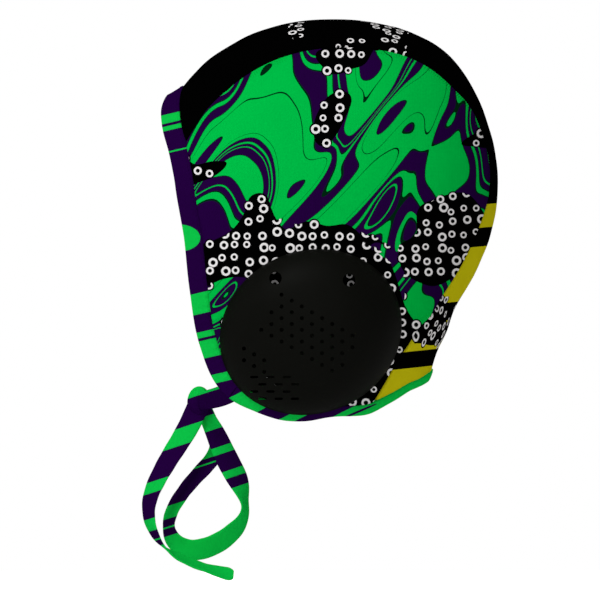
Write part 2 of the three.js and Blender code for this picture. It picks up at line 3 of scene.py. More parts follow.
import bmesh
import bpy
import numpy as np
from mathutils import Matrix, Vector


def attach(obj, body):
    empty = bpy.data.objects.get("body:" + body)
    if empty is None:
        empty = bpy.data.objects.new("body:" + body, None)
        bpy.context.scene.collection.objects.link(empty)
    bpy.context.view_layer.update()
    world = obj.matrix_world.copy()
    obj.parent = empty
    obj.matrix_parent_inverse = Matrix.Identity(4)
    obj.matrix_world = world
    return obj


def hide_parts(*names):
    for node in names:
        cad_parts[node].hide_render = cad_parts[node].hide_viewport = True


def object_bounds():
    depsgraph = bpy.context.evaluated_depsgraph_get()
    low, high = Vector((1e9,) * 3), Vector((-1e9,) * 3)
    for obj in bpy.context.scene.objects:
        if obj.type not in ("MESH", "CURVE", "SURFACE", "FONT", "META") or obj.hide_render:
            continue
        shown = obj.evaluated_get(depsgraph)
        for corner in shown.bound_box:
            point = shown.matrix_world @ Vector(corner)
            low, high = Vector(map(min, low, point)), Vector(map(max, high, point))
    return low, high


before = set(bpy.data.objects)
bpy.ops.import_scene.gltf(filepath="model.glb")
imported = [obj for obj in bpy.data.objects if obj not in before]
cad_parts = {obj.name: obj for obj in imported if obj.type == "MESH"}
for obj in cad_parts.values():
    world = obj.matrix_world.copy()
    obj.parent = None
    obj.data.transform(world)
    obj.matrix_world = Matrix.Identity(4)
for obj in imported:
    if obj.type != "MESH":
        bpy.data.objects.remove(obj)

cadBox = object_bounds()
print("stage: frame loaded,", len(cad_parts), "nodes")

# camera, lights and the pale room; all sizes in metres
viewSetup = {
    "pixel": 0.00057,  # of a 600 pixel picture, at the cap's mid-plane
    "pixels": 600,
    "aim": (0, -0.02, -0.1584),
    "distance": 9.0,
    "sensor": 36.0,
    "farClip": 100,
    "floorGap": 0.012,
    "floorSize": 2.0,
    "floorColour": (0.9, 0.9, 0.9, 1),
    "floorRough": 0.9,
    "floorGlow": 0.75,  # as the camera sees it
    "roomWhite": (1.0, 1.0, 1.0, 1),
    "roomLight": 0.2,
}

lampSetup = [
    # name, place, size, power in watts
    ("keyLamp", (1.4, -0.8, 1.5), 1.2, 33),
    ("frontLamp", (3.0, -0.1, 0.0), 0.5, 10),
    ("fillLamp", (0.5, -2.0, 0.3), 1.6, 3.5),
    ("backLamp", (-1.2, 1.4, 1.3), 1.4, 10),
    ("farLamp", (-1.8, -0.9, 0.6), 1.4, 9),
]

nodeGrid = {"columns": 9, "across": 190, "down": 230}  # how the nodes lie in the editor


# node helpers
def addNode(tree, kind, inputs=None, **settings):
    item = tree.nodes.new(kind)
    row, column = divmod(len(tree.nodes), nodeGrid["columns"])
    item.location = (nodeGrid["across"] * column, -nodeGrid["down"] * row)
    for key, value in settings.items():
        setattr(item, key, value)
    for key, value in (inputs or {}).items():
        if isinstance(value, bpy.types.NodeSocket):
            tree.links.new(value, item.inputs[key])
        else:
            item.inputs[key].default_value = value
    return item


def calc(tree, operation, *values, clamp=False):
    inputs = dict(enumerate(values))
    return addNode(tree, "ShaderNodeMath", inputs, operation=operation, use_clamp=clamp).outputs[0]


def makeCamera():
    data = bpy.data.cameras.new("camera")
    data.sensor_width = viewSetup["sensor"]
    width = viewSetup["pixel"] * viewSetup["pixels"]
    data.lens = viewSetup["sensor"] * viewSetup["distance"] / width
    data.clip_end = viewSetup["farClip"]
    camera = bpy.data.objects.new("camera", data)
    aim = Vector(viewSetup["aim"])
    camera.location = aim + Vector((viewSetup["distance"], 0, 0))
    camera.rotation_euler = (aim - camera.location).to_track_quat("-Z", "Y").to_euler()
    bpy.context.scene.collection.objects.link(camera)
    bpy.context.scene.camera = camera


def makeLamps():
    for name, place, size, power in lampSetup:
        data = bpy.data.lights.new(name, "AREA")
        data.shape = "DISK"
        data.size = size
        data.energy = power
        lamp = bpy.data.objects.new(name, data)
        lamp.location = place
        lamp.rotation_euler = (Vector(viewSetup["aim"]) - lamp.location).to_track_quat("-Z", "Y").to_euler()
        bpy.context.scene.collection.objects.link(lamp)


def makeRoom():
    world = bpy.data.worlds.new("paleRoom")
    bpy.context.scene.world = world
    world.use_nodes = True
    tree = world.node_tree
    background = tree.nodes["Background"]
    background.inputs["Color"].default_value = viewSetup["roomWhite"]
    path = tree.nodes.new("ShaderNodeLightPath")
    strength = tree.nodes.new("ShaderNodeMapRange")
    strength.inputs["To Min"].default_value = viewSetup["roomLight"]
    strength.inputs["To Max"].default_value = 1
    tree.links.new(path.outputs["Is Camera Ray"], strength.inputs["Value"])
    tree.links.new(strength.outputs["Result"], background.inputs["Strength"])
    bpy.context.scene.view_settings.view_transform = "Standard"


def makeFloor():
    half = viewSetup["floorSize"] / 2
    level = cadBox[0].z - viewSetup["floorGap"]
    mesh = bpy.data.meshes.new("floor")
    mesh.from_pydata(
        [(-half, -half, level), (half, -half, level), (half, half, level), (-half, half, level)],
        [],
        [(0, 1, 2, 3)],
    )
    floor = bpy.data.objects.new("floor", mesh)
    bpy.context.scene.collection.objects.link(floor)
    material = bpy.data.materials.new("paleFloor")
    material.use_nodes = True
    shader = material.node_tree.nodes["Principled BSDF"]
    shader.inputs["Base Color"].default_value = viewSetup["floorColour"]
    shader.inputs["Roughness"].default_value = viewSetup["floorRough"]
    shader.inputs["Specular IOR Level"].default_value = 0
    shader.inputs["Emission Color"].default_value = viewSetup["roomWhite"]
    path = addNode(material.node_tree, "ShaderNodeLightPath")
    glow = calc(material.node_tree, "MULTIPLY", path.outputs["Is Camera Ray"], viewSetup["floorGlow"])
    material.node_tree.links.new(glow, shader.inputs["Emission Strength"])
    mesh.materials.append(material)


makeCamera()
makeLamps()
makeRoom()
makeFloor()
print("stage: camera, lights and floor")

# the head form that the cloth follows, as in the construction
headForm = {"halfLength": 0.0944, "crownRise": 0.1014, "halfBreadth": 0.077}

# turn in degrees about the ear-to-ear axis (0 up, + to the back), reach as a share of the ellipse,
# and how square the section is
headRows = [
    (-207, 1.17, 2.45), (-202, 1.23, 2.55), (-194, 1.37, 2.65), (-183, 1.6, 2.8), (-170, 1.8, 2.8),
    (-150, 1.77, 2.7), (-135, 1.64, 2.6), (-120, 1.51, 2.5), (-105, 1.39, 2.4), (-90, 1.29, 2.35),
    (-77, 1.2, 2.3), (-65, 1.125, 2.3), (-55, 1.1, 2.3), (-45, 1.083, 2.3), (-30, 1.046, 2.3),
    (-15, 1.016, 2.3), (0, 1, 2.3), (15, 1.011, 2.3), (28, 1.036, 2.3), (40, 1.047, 2.3),
    (52, 1.03, 2.3), (66, 0.998, 2.3), (80, 0.978, 2.3), (95, 0.953, 2.3), (110, 0.93, 2.35),
    (122, 0.92, 2.5), (131, 0.932, 2.6), (138, 0.985, 2.6), (146, 1.055, 2.5),
]

# the free edge from brow to nape: turn, place as a share of the outline's distance, share of the brow's flare
edgeRows = [
    (-60.3, 1, 1), (-61.5, 0.997, 1.05), (-65.2, 0.972, 1.2), (-69.5, 0.925, 1), (-75, 0.85, 0.72),
    (-82, 0.777, 0.6), (-90, 0.722, 0.5), (-98.5, 0.682, 0.42), (-108, 0.66, 0.35), (-122, 0.664, 0.25),
    (-135, 0.697, 0.12),
    (-144, 0.718, 0), (-151, 0.72, 0), (-158, 0.707, 0), (-165, 0.701, 0), (-172, 0.699, 0),
    (-178, 0.717, 0), (-184, 0.765, 0), (-190, 0.83, 0), (-196.3, 0.885, 0), (-202.7, 0.942, 0),
    (-207, 0.985, 0), (-208.6, 1, 0),
]

# half width of the centre panel along its seams: turn, share of its widest
seamRows = [
    (-80, 1.02), (-60, 0.97), (-45, 1), (-25, 0.98), (0, 0.94), (30, 0.87), (47, 0.79), (60, 0.62),
    (75, 0.555), (88, 0.6), (100, 0.72), (115, 0.81), (130, 0.9), (145, 1.03), (158, 1.12), (172, 1.13),
]

cloth = {
    "wall": 0.0016,
    "roundEdge": 0.0011,
    "centreHalfWidth": 0.05,
    "seamGap": 0.0003,
    "seamDip": 0.0005,
    "dipReach": 0.0016,
    "edgeDepth": 0.0006,  # of the outer skin at a cut edge
    "underBinding": 0.0012,
    "slack": 0.00022,  # slow waves of the stretched cloth
    "slackLength": 0.034,
    "slackLean": 0.4,
    "slackSwing": 1.3,
    "swingRate": 0.6,
    "swingLean": 0.5,
    "slackCross": 0.7,
    "pull": 0.00045,  # ripples that the chin tape pulls at the jaw corner
    "pullStart": 0.008,
    "pullReach": 0.022,
    "pullRays": 13,
    "calmRim": 0.01,  # the waves fade out this far from a seam or a bound edge
    "calmTurn": 6,  # and this many degrees from the centre panel's ends
}

binding = {
    "faceWidth": 0.0105,
    "neckWidth": 0.0065,
    "taper": 0.05,  # behind the jaw corner, from one width to the other
    "wall": 0.0023,
    "inner": -0.0003,
    "browFlare": 0.0045,
    "flareBend": 1.6,
    "cornerTurn": -149.8,
    "gather": 0.00012,
    "gatherLength": 0.0052,
    "lip": 0.0004,  # how far its inner edge sinks into the cloth
    "lipRound": 0.0009,
    "crown": 0.00022,
    "crownBend": 0.8,
    "innerStart": 0.02,  # share of the width
}


def smoothColumn(rows, turn, column, wrap=False):
    turns = np.array([row[0] for row in rows], float)
    values = np.array([row[column] for row in rows], float)
    turn = np.asarray(turn, float)
    if wrap:
        turn = turns[0] + np.mod(turn - turns[0], 360)
        turns = np.concatenate([turns[-2:] - 360, turns, turns[:3] + 360])
        values = np.concatenate([values[-2:], values, values[:3]])
    slopes = np.empty_like(values)
    slopes[1:-1] = (values[2:] - values[:-2]) / (turns[2:] - turns[:-2])
    slopes[0] = (values[1] - values[0]) / (turns[1] - turns[0])
    slopes[-1] = (values[-1] - values[-2]) / (turns[-1] - turns[-2])
    low = np.clip(np.searchsorted(turns, turn, side="right") - 1, 0, len(turns) - 2)
    span = turns[low + 1] - turns[low]
    f = (turn - turns[low]) / span
    return (
        (1 + 2 * f) * (1 - f) ** 2 * values[low]
        + f * (1 - f) ** 2 * span * slopes[low]
        + f * f * (3 - 2 * f) * values[low + 1]
        + f * f * (f - 1) * span * slopes[low + 1]
    )


def headColumn(turn, column):
    return smoothColumn(headRows, turn, column, wrap=True)


def headPoint(turn, around):  # around is 0 at the left side, 1 on the mid-plane, 2 at the right side
    turn, around = np.broadcast_arrays(np.asarray(turn, float), np.asarray(around, float))
    power = 2 / headColumn(turn, 2)
    quarter = around * math.pi / 2
    out = np.abs(np.sin(quarter)) ** power * headColumn(turn, 1)
    side = np.sign(np.cos(quarter)) * np.abs(np.cos(quarter)) ** power
    angle = np.radians(turn)
    return np.stack(
        [
            headForm["halfBreadth"] * side,
            headForm["halfLength"] * out * np.sin(angle),
            headForm["crownRise"] * (out * np.cos(angle) - 1),
        ],
        -1,
    )


def unit(vectors):
    return vectors / np.maximum(np.linalg.norm(vectors, axis=-1, keepdims=True), 1e-12)


normalSteps = (0.004, 0.02)  # least and most of around that a normal is taken over
flatSide = 0.01  # of around, at each side, where the normal points straight out


def headNormal(turn, around):
    turn, around = np.broadcast_arrays(np.asarray(turn, float), np.asarray(around, float))
    fromSide = np.minimum(around, 2 - around)
    step = np.clip(fromSide / 2, *normalSteps)
    along = headPoint(turn + 1, around) - headPoint(turn - 1, around)
    across = headPoint(turn, around + step) - headPoint(turn, around - step)
    normal = unit(np.cross(along, across))
    flat = np.stack([np.where(around < 1, 1.0, -1.0), 0 * around, 0 * around], -1)
    return np.where((fromSide < flatSide)[..., None], flat, normal)


def skinPoint(turn, around, depth):
    return headPoint(turn, around) + headNormal(turn, around) * np.asarray(depth)[..., None]


def placeOf(points):
    back = points[..., 1] / headForm["halfLength"]
    up = points[..., 2] / headForm["crownRise"] + 1
    turn = np.degrees(np.arctan2(back, up))
    power = headColumn(turn, 2) / 2
    out = (np.hypot(back, up) / headColumn(turn, 1)) ** power
    side = (np.abs(points[..., 0]) / headForm["halfBreadth"]) ** power
    quarter = np.arctan2(out, side)
    return turn, np.where(points[..., 0] < 0, math.pi - quarter, quarter) * 2 / math.pi


def sidePlace(y, z):  # place on the left half that shows at y, z from the side
    back = y / headForm["halfLength"]
    up = z / headForm["crownRise"] + 1
    turn = np.degrees(np.arctan2(back, up))
    out = np.clip(np.hypot(back, up) / headColumn(turn, 1), 0, 1)
    return turn, 2 / math.pi * np.arcsin(out ** (headColumn(turn, 2) / 2))


def moveAround(turn, around, distance):
    step = 0.005
    rate = np.linalg.norm(headPoint(turn, around + step) - headPoint(turn, around - step), axis=-1)
    return around + distance * 2 * step / rate


def throughPoints(points, shares):  # smooth curve through a few points, at shares of their count
    points = np.asarray(points, float)
    padded = np.vstack([2 * points[0] - points[1], points, 2 * points[-1] - points[-2]])
    place = np.clip(np.asarray(shares, float), 0, 1) * (len(points) - 1)
    low = np.minimum(np.floor(place).astype(int), len(points) - 2)
    f = (place - low)[:, None]
    p0, p1, p2, p3 = (padded[low + k] for k in range(4))
    d0, d1, d2 = (
        np.maximum(np.linalg.norm(b - a, axis=1), 1e-9)[:, None] ** 0.5
        for a, b in ((p0, p1), (p1, p2), (p2, p3))
    )
    m1 = ((p1 - p0) / d0 - (p2 - p0) / (d0 + d1) + (p2 - p1) / d1) * d1
    m2 = ((p2 - p1) / d1 - (p3 - p1) / (d1 + d2) + (p3 - p2) / d2) * d1
    return (
        (1 + 2 * f) * (1 - f) ** 2 * p1
        + f * (1 - f) ** 2 * m1
        + f * f * (3 - 2 * f) * p2
        + f * f * (f - 1) * m2
    )


def evenShares(points, count):  # indices, as floats, of even distances along dense points
    lengths = np.concatenate([[0], np.cumsum(np.linalg.norm(np.diff(points, axis=0), axis=1))])
    return np.interp(np.linspace(0, lengths[-1], count), lengths, np.arange(len(points)))


edgeCount = 600
edgeSpan = 4  # stations to each side that give the edge's direction


def makeEdge():
    rows = np.array(edgeRows, float)
    around = 2 / math.pi * np.arcsin(rows[:, 1] ** (headColumn(rows[:, 0], 2) / 2))
    shares = np.linspace(0, 1, 10 * edgeCount + 1)
    dense = throughPoints(np.stack([rows[:, 0], around, rows[:, 2]], 1), shares)
    shares = evenShares(headPoint(dense[:, 0], dense[:, 1]), edgeCount + 1)
    return [np.interp(shares, np.arange(len(dense)), dense[:, k]) for k in range(3)]


edgeTurn, edgeAround, edgeFlare = makeEdge()
edgePoint = headPoint(edgeTurn, edgeAround)
cornerStation = int(np.argmax(edgeTurn <= binding["cornerTurn"]))
cornerPlace = (edgeTurn[cornerStation], edgeAround[cornerStation])


def makeBindingWidths():
    run = np.linalg.norm(edgePoint - edgePoint[cornerStation], axis=1)
    share = np.clip(np.where(np.arange(edgeCount + 1) > cornerStation, run, 0) / binding["taper"], 0, 1)
    share = share * share * (3 - 2 * share)
    return binding["faceWidth"] + (binding["neckWidth"] - binding["faceWidth"]) * share


bindingWidths = makeBindingWidths()


def makeInward():
    before = np.maximum(np.arange(edgeCount + 1) - edgeSpan, 0)
    after = np.minimum(np.arange(edgeCount + 1) + edgeSpan, edgeCount)
    along = edgePoint[after] - edgePoint[before]
    along[0] = (1, 0, 0)
    along[-1] = (-1, 0, 0)
    return -unit(np.cross(along, headNormal(edgeTurn, edgeAround)))


edgeInward = makeInward()


def insideEdge(stations, distance):
    points = edgePoint[stations] + edgeInward[stations] * np.asarray(distance)[..., None]
    turn, around = placeOf(points)
    turn = np.where(turn > 90, turn - 360, turn)
    middle = (stations == 0) | (stations == edgeCount)
    return turn, np.where(middle, 1.0, around)


allStations = np.arange(edgeCount + 1)
clothTurn, clothAroundAt = insideEdge(allStations, bindingWidths - cloth["underBinding"])


def clothAround(turn):  # where the cloth ends under the binding; 2 past the mid-plane
    place = np.where(turn > 0, turn - 360, turn)
    return np.interp(place, clothTurn[::-1], clothAroundAt[::-1], left=2, right=2)


def seamAround(turn):
    half = cloth["centreHalfWidth"] * smoothColumn(seamRows, turn, 1) / headForm["halfBreadth"]
    return 2 / math.pi * np.arccos(half ** (headColumn(turn, 2) / 2))


def crossing(low, high, difference, halvings=46):
    low, high = np.array(low, float), np.array(high, float)
    start = difference(low) > 0
    for _ in range(halvings):
        mid = (low + high) / 2
        same = (difference(mid) > 0) == start
        low = np.where(same, mid, low)
        high = np.where(same, high, mid)
    return (low + high) / 2


panelEnds = {"clear": 0.5, "frontLimit": -85.0, "backLimit": 175.0}  # degrees, where they are sought


def endTurn(across, start, limit):  # turn where the centre panel ends; across is 1 on its seam
    across = np.asarray(across, float)
    ends = np.full(across.shape, start), np.full(across.shape, limit)
    return crossing(*ends, lambda t: clothAround(t) - 1 + across * (1 - seamAround(t)))


def frontTurn(across):
    return endTurn(across, clothTurn[0] + panelEnds["clear"], panelEnds["frontLimit"])


def backTurn(across):
    return endTurn(across, clothTurn[-1] + (360 - panelEnds["clear"]), panelEnds["backLimit"])


# a closed section swept along stations; ring joins the last to the first
def sweptObject(name, sections, materials, ring=False, slots=None, merge=0.0, sharp=50):
    runs, count = sections.shape[:2]
    i = np.arange(runs if ring else runs - 1)[:, None]
    k = np.arange(count)[None, :]
    nextI, nextK = (i + 1) % runs, (k + 1) % count
    corners = (i * count + k, i * count + nextK, nextI * count + nextK, nextI * count + k)
    faces = np.stack(np.broadcast_arrays(*corners), -1).reshape(-1, 4).tolist()
    index = [] if slots is None else np.tile(slots, len(i)).tolist()
    if not ring:
        faces.append(list(range(count)))
        faces.append(list(range((runs - 1) * count, runs * count))[::-1])
        index = index and index + [index[0], index[0]]
    return meshObject(name, sections.reshape(-1, 3), faces, materials, index, merge, sharp)


def meshObject(name, points, faces, materials, index=(), merge=0.0, sharp=50):
    mesh = bpy.data.meshes.new(name)
    mesh.from_pydata(points.tolist(), [], faces)
    for material in materials:
        mesh.materials.append(material)
    if len(index):
        mesh.polygons.foreach_set("material_index", index)
    work = bmesh.new()
    work.from_mesh(mesh)
    if merge:
        bmesh.ops.remove_doubles(work, verts=work.verts, dist=merge)
    bmesh.ops.recalc_face_normals(work, faces=work.faces)
    work.to_mesh(mesh)
    work.free()
    mesh.shade_smooth()
    mesh.set_sharp_from_angle(angle=math.radians(sharp))
    piece = bpy.data.objects.new(name, mesh)
    bpy.context.scene.collection.objects.link(piece)
    return piece


def mirroredObject(piece, name):
    mesh = piece.data.copy()
    mesh.name = name
    points = np.empty(len(mesh.vertices) * 3, np.float32)
    mesh.vertices.foreach_get("co", points)
    points[0::3] *= -1
    mesh.vertices.foreach_set("co", points)
    mesh.flip_normals()
    copy = bpy.data.objects.new(name, mesh)
    bpy.context.scene.collection.objects.link(copy)
    return copy


def finishPiece(piece, slot, *nodes):
    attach(piece, "root")
    if nodes:
        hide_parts(*nodes)
    return piece


def weighted(tree, terms):  # sum of socket times number
    total = None
    for socket, share in terms:
        part = calc(tree, "MULTIPLY", socket, share)
        total = part if total is None else calc(tree, "ADD", total, part)
    return total


def mixColour(tree, factor, first, second, blend="MIX"):
    inputs = {0: factor, 6: first, 7: second}
    return addNode(tree, "ShaderNodeMix", inputs, data_type="RGBA", blend_type=blend).outputs[2]


def softStep(tree, value, low, high):
    inputs = {"Value": value, "From Min": low, "From Max": high}
    return addNode(tree, "ShaderNodeMapRange", inputs, interpolation_type="SMOOTHSTEP").outputs[0]


def rampColour(tree, value, stops):  # stops are (place from 0 to 1, colour), each colour up to the next place
    item = addNode(tree, "ShaderNodeValToRGB", {"Fac": value})
    item.color_ramp.interpolation = "CONSTANT"
    elements = item.color_ramp.elements
    while len(elements) > 1:
        elements.remove(elements[-1])
    elements[0].position, elements[0].color = stops[0]
    for place, colour in stops[1:]:
        elements.new(place).color = colour
    return item.outputs["Color"]


def stripes(tree, place, setup, colour, ground):  # its rows are (start, end) in metres down the slope
    first, last = setup["span"]
    stops = [(0.0, palette[ground])]
    for start, end in setup["rows"]:
        stops.append(((start - first) / (last - first), palette[colour]))
        stops.append(((end - first) / (last - first), palette[ground]))
    slant = weighted(tree, [(place[2], -1.0), (place[1], setup["slope"])])
    scaled = addNode(tree, "ShaderNodeMapRange", {"Value": slant, "From Min": first, "From Max": last})
    return rampColour(tree, scaled.outputs[0], stops)


def objectPlace(tree):
    coordinates = addNode(tree, "ShaderNodeTexCoord").outputs["Object"]
    return coordinates, addNode(tree, "ShaderNodeSeparateXYZ", {0: coordinates}).outputs


def startGroup(name, inputs, outputs):
    group = bpy.data.node_groups.new(name, "ShaderNodeTree")
    for key, (kind, value) in inputs.items():
        socket = group.interface.new_socket(key, in_out="INPUT", socket_type=kind)
        if value is not None:
            socket.default_value = value
    for key, kind in outputs.items():
        group.interface.new_socket(key, in_out="OUTPUT", socket_type=kind)
    return group, group.nodes.new("NodeGroupInput").outputs


def endGroup(group, values):
    output = addNode(group, "NodeGroupOutput")
    for key, value in values.items():
        group.links.new(value, output.inputs[key])
    return group


def useGroup(tree, group, inputs=None):
    item = addNode(tree, "ShaderNodeGroup", node_tree=group)
    for key, value in (inputs or {}).items():
        if isinstance(value, bpy.types.NodeSocket):
            tree.links.new(value, item.inputs[key])
        else:
            item.inputs[key].default_value = value
    return item.outputs


floatSocket, colourSocket, vectorSocket = "NodeSocketFloat", "NodeSocketColor", "NodeSocketVector"

palette = {
    "green": (0.0, 0.50, 0.062, 1),
    "purple": (0.0165, 0.0006, 0.045, 1),
    "black": (0.0005, 0.0005, 0.0005, 1),
    "white": (0.82, 0.80, 0.80, 1),
    "yellow": (0.62, 0.56, 0.006, 1),
    "tapeGreen": (0.004, 0.56, 0.066, 1),
    "lining": (0.62, 0.66, 0.62, 1),
    "guard": (0.0034, 0.0036, 0.0028, 1),
    "guardWorn": (0.0055, 0.0056, 0.0045, 1),
    "outline": (0.0, 0.02, 0.006, 1),
}

knitting = {
    "loopRatio": 1.2,  # rows of loops to each rib
    "zigzag": 0.8,
    "ribs": 0.22,
    "loops": 0.2,
    "fuzz": 0.5,
    "fuzzScale": 0.7,
    "tone": 0.96,
    # painted shade: how far the colour darkens with the knit's height
    "shade": 0.09,
}


# fine knit: a height and a faint painted shade, darker in the knit's low places, from two crossing rows of
# loops
def makeKnit():
    group, given = startGroup(
        "stretchKnit",
        {"Across": (floatSocket, 0.0), "Along": (floatSocket, 0.0), "Pitch": (floatSocket, 0.0009)},
        {"Height": floatSocket, "Shade": floatSocket},
    )
    turnsAcross = calc(group, "DIVIDE", given["Across"], given["Pitch"])
    turnsAlong = calc(group, "DIVIDE", given["Along"], given["Pitch"])
    ribs = calc(group, "SINE", calc(group, "MULTIPLY", turnsAcross, 2 * math.pi))
    lean = weighted(group, [(turnsAlong, 2 * math.pi * knitting["loopRatio"]), (ribs, knitting["zigzag"])])
    loops = calc(group, "SINE", lean)
    spot = addNode(group, "ShaderNodeCombineXYZ", {0: turnsAcross, 1: turnsAlong})
    inputs = {"Vector": spot.outputs[0], "Scale": knitting["fuzzScale"], "Detail": 3.0}
    fuzz = addNode(group, "ShaderNodeTexNoise", inputs).outputs["Fac"]
    height = weighted(group, [(ribs, knitting["ribs"]), (loops, knitting["loops"]), (fuzz, knitting["fuzz"])])
    shade = calc(group, "MULTIPLY_ADD", height, knitting["shade"], knitting["tone"])
    return endGroup(group, {"Height": height, "Shade": shade})


fading = {"slowScale": 26.0, "grainScale": 900.0, "grain": 0.3, "roughness": 0.74, "roughSwing": 0.8}


# slow change of tone over the cloth: a little faded in slow random patches
def makeFade():
    group, given = startGroup(
        "clothFade",
        {"Place": (vectorSocket, None), "Colour": (colourSocket, (1, 1, 1, 1)), "Amount": (floatSocket, 0.1)},
        {"Colour": colourSocket, "Roughness": floatSocket},
    )
    slow, grain = (
        addNode(
            group, "ShaderNodeTexNoise", {"Vector": given["Place"], "Scale": fading[scale], "Detail": detail}
        ).outputs["Fac"]
        for scale, detail in (("slowScale", 4.0), ("grainScale", 2.0))
    )
    tone = weighted(group, [(slow, 1 - fading["grain"]), (grain, fading["grain"])])
    centred = calc(group, "MULTIPLY", calc(group, "SUBTRACT", tone, 0.5), given["Amount"])
    bright = calc(group, "ADD", calc(group, "MULTIPLY", centred, 2.0), 1.0)
    grey = addNode(group, "ShaderNodeCombineColor", {0: bright, 1: bright, 2: bright})
    colour = mixColour(group, 1.0, given["Colour"], grey.outputs[0], "MULTIPLY")
    rough = calc(group, "MULTIPLY_ADD", centred, fading["roughSwing"], fading["roughness"])
    return endGroup(group, {"Colour": colour, "Roughness": rough})


marbling = {
    "tilt": -0.62,  # radians that the streaks lean
    "longScale": 6.0,
    "shortScale": 21.0,
    "lines": 3.7,
    "swirl": 1.35,
    "inks": [  # each ink from its place in a round of the field to the next
        (0.0, "purple"), (0.13, "outline"), (0.142, "green"), (0.168, "purple"), (0.25, "outline"),
        (0.262, "green"), (0.325, "outline"), (0.337, "purple"), (0.47, "outline"), (0.482, "green"),
        (0.60, "outline"), (0.61, "green"), (0.955, "outline"), (0.968, "purple"),
    ],
}


# marbled streaks of two inks with a thin dark line between them, as contours of one slow field
def makeMarble():
    group, given = startGroup(
        "marbledInks",
        {
            "Across": (floatSocket, 0.0),
            "Along": (floatSocket, 0.0),
            "Shift": (floatSocket, 0.0),
            "Lean": (floatSocket, 0.0),
        },
        {"Colour": colourSocket},
    )
    cos, sin = math.cos(marbling["tilt"]), math.sin(marbling["tilt"])
    long = weighted(group, [(given["Across"], -sin), (given["Along"], cos)])
    short = weighted(group, [(given["Across"], cos), (given["Along"], sin)])
    spot = addNode(
        group,
        "ShaderNodeCombineXYZ",
        {
            0: calc(group, "MULTIPLY", short, marbling["shortScale"]),
            1: calc(group, "MULTIPLY", long, marbling["longScale"]),
            2: given["Shift"],
        },
    )
    inputs = {"Vector": spot.outputs[0], "Scale": 1.0, "Detail": 1.0, "Roughness": 0.4}
    inputs["Distortion"] = marbling["swirl"]
    field = addNode(group, "ShaderNodeTexNoise", inputs).outputs["Fac"]
    lines = calc(group, "MULTIPLY_ADD", field, marbling["lines"], given["Lean"])
    inks = [(place, palette[ink]) for place, ink in marbling["inks"]]
    return endGroup(group, {"Colour": rampColour(group, calc(group, "FRACT", lines), inks)})


bubbleSetup = {
    "cell": 138.0,
    "loose": 0.5,
    "patch": 17.0,
    "level": 0.575,
    "size": 0.25,
    "sizeSwing": 0.13,
    "rim": 0.5,
    "halo": 1.35,  # of black round each bubble
}


# round white bubbles that lie whole on drifting black patches
def makeBubbles():
    group, given = startGroup(
        "driftingBubbles",
        {
            "Across": (floatSocket, 0.0),
            "Along": (floatSocket, 0.0),
            "Shift": (floatSocket, 0.0),
            "Level": (floatSocket, bubbleSetup["level"]),
        },
        {"Ground": floatSocket, "Rings": floatSocket},
    )

    def patchAt(vector):
        moved = addNode(group, "ShaderNodeVectorMath", {0: vector, 1: shift.outputs[0]}, operation="ADD")
        inputs = {
            "Vector": moved.outputs[0], "Scale": bubbleSetup["patch"], "Detail": 1.0, "Distortion": 0.5,
        }
        return addNode(group, "ShaderNodeTexNoise", inputs).outputs["Fac"]

    shift = addNode(group, "ShaderNodeCombineXYZ", {2: given["Shift"]})
    spot = addNode(group, "ShaderNodeCombineXYZ", {0: given["Across"], 1: given["Along"]}).outputs[0]
    cells = addNode(
        group,
        "ShaderNodeTexVoronoi",
        {"Vector": spot, "Scale": bubbleSetup["cell"], "Randomness": bubbleSetup["loose"]},
        voronoi_dimensions="2D",
    )
    ground = calc(group, "GREATER_THAN", patchAt(spot), given["Level"])
    inside = calc(group, "GREATER_THAN", patchAt(cells.outputs["Position"]), given["Level"])
    tint = addNode(group, "ShaderNodeSeparateColor", {0: cells.outputs["Color"]}).outputs
    size = calc(group, "MULTIPLY_ADD", tint[0], bubbleSetup["sizeSwing"], bubbleSetup["size"])
    ratio = calc(group, "DIVIDE", cells.outputs["Distance"], size)
    band = calc(
        group,
        "MULTIPLY",
        calc(group, "GREATER_THAN", ratio, bubbleSetup["rim"]),
        calc(group, "LESS_THAN", ratio, 1.0),
    )
    disc = calc(group, "MULTIPLY", calc(group, "LESS_THAN", ratio, bubbleSetup["halo"]), inside)
    rings = calc(group, "MULTIPLY", band, inside)
    return endGroup(group, {"Ground": calc(group, "MAXIMUM", ground, disc), "Rings": rings})


knitGroup = makeKnit()
fadeGroup = makeFade()
marbleGroup = makeMarble()
bubbleGroup = makeBubbles()


# a cloth material from a colour socket; the shader's own sockets hold what is the same all over
def clothMaterial(name, colourAt, finish, places=None):
    material = bpy.data.materials.new(name)
    material.use_nodes = True
    tree = material.node_tree
    shader = tree.nodes["Principled BSDF"]
    coordinates, place = objectPlace(tree)
    across, along = places(tree, place) if places else (place[1], place[2])
    colour = colourAt(tree, across, along, place)
    knit = useGroup(tree, knitGroup, {"Across": across, "Along": along, "Pitch": finish["pitch"]})
    fade = useGroup(tree, fadeGroup, {"Place": coordinates, "Colour": colour, "Amount": finish["fade"]})
    # painted shade: the colour is multiplied by the knit's shade, darker where the knit is low
    shade = addNode(tree, "ShaderNodeCombineColor", {0: knit["Shade"], 1: knit["Shade"], 2: knit["Shade"]})
    shown = mixColour(tree, 1.0, fade["Colour"], shade.outputs[0], "MULTIPLY")
    tree.links.new(shown, shader.inputs["Base Color"])
    tree.links.new(fade["Roughness"], shader.inputs["Roughness"])
    bump = addNode(tree, "ShaderNodeBump", {"Height": knit["Height"], "Distance": finish["relief"]})
    tree.links.new(bump.outputs["Normal"], shader.inputs["Normal"])
    shader.inputs["Specular IOR Level"].default_value = finish["specular"]
    return material


clothFinish = {"pitch": 0.0009, "fade": 0.09, "relief": 0.00009, "specular": 0.0}
tapeFinish = {"pitch": 0.0007, "fade": 0.1, "relief": 0.00012, "specular": 0.0}

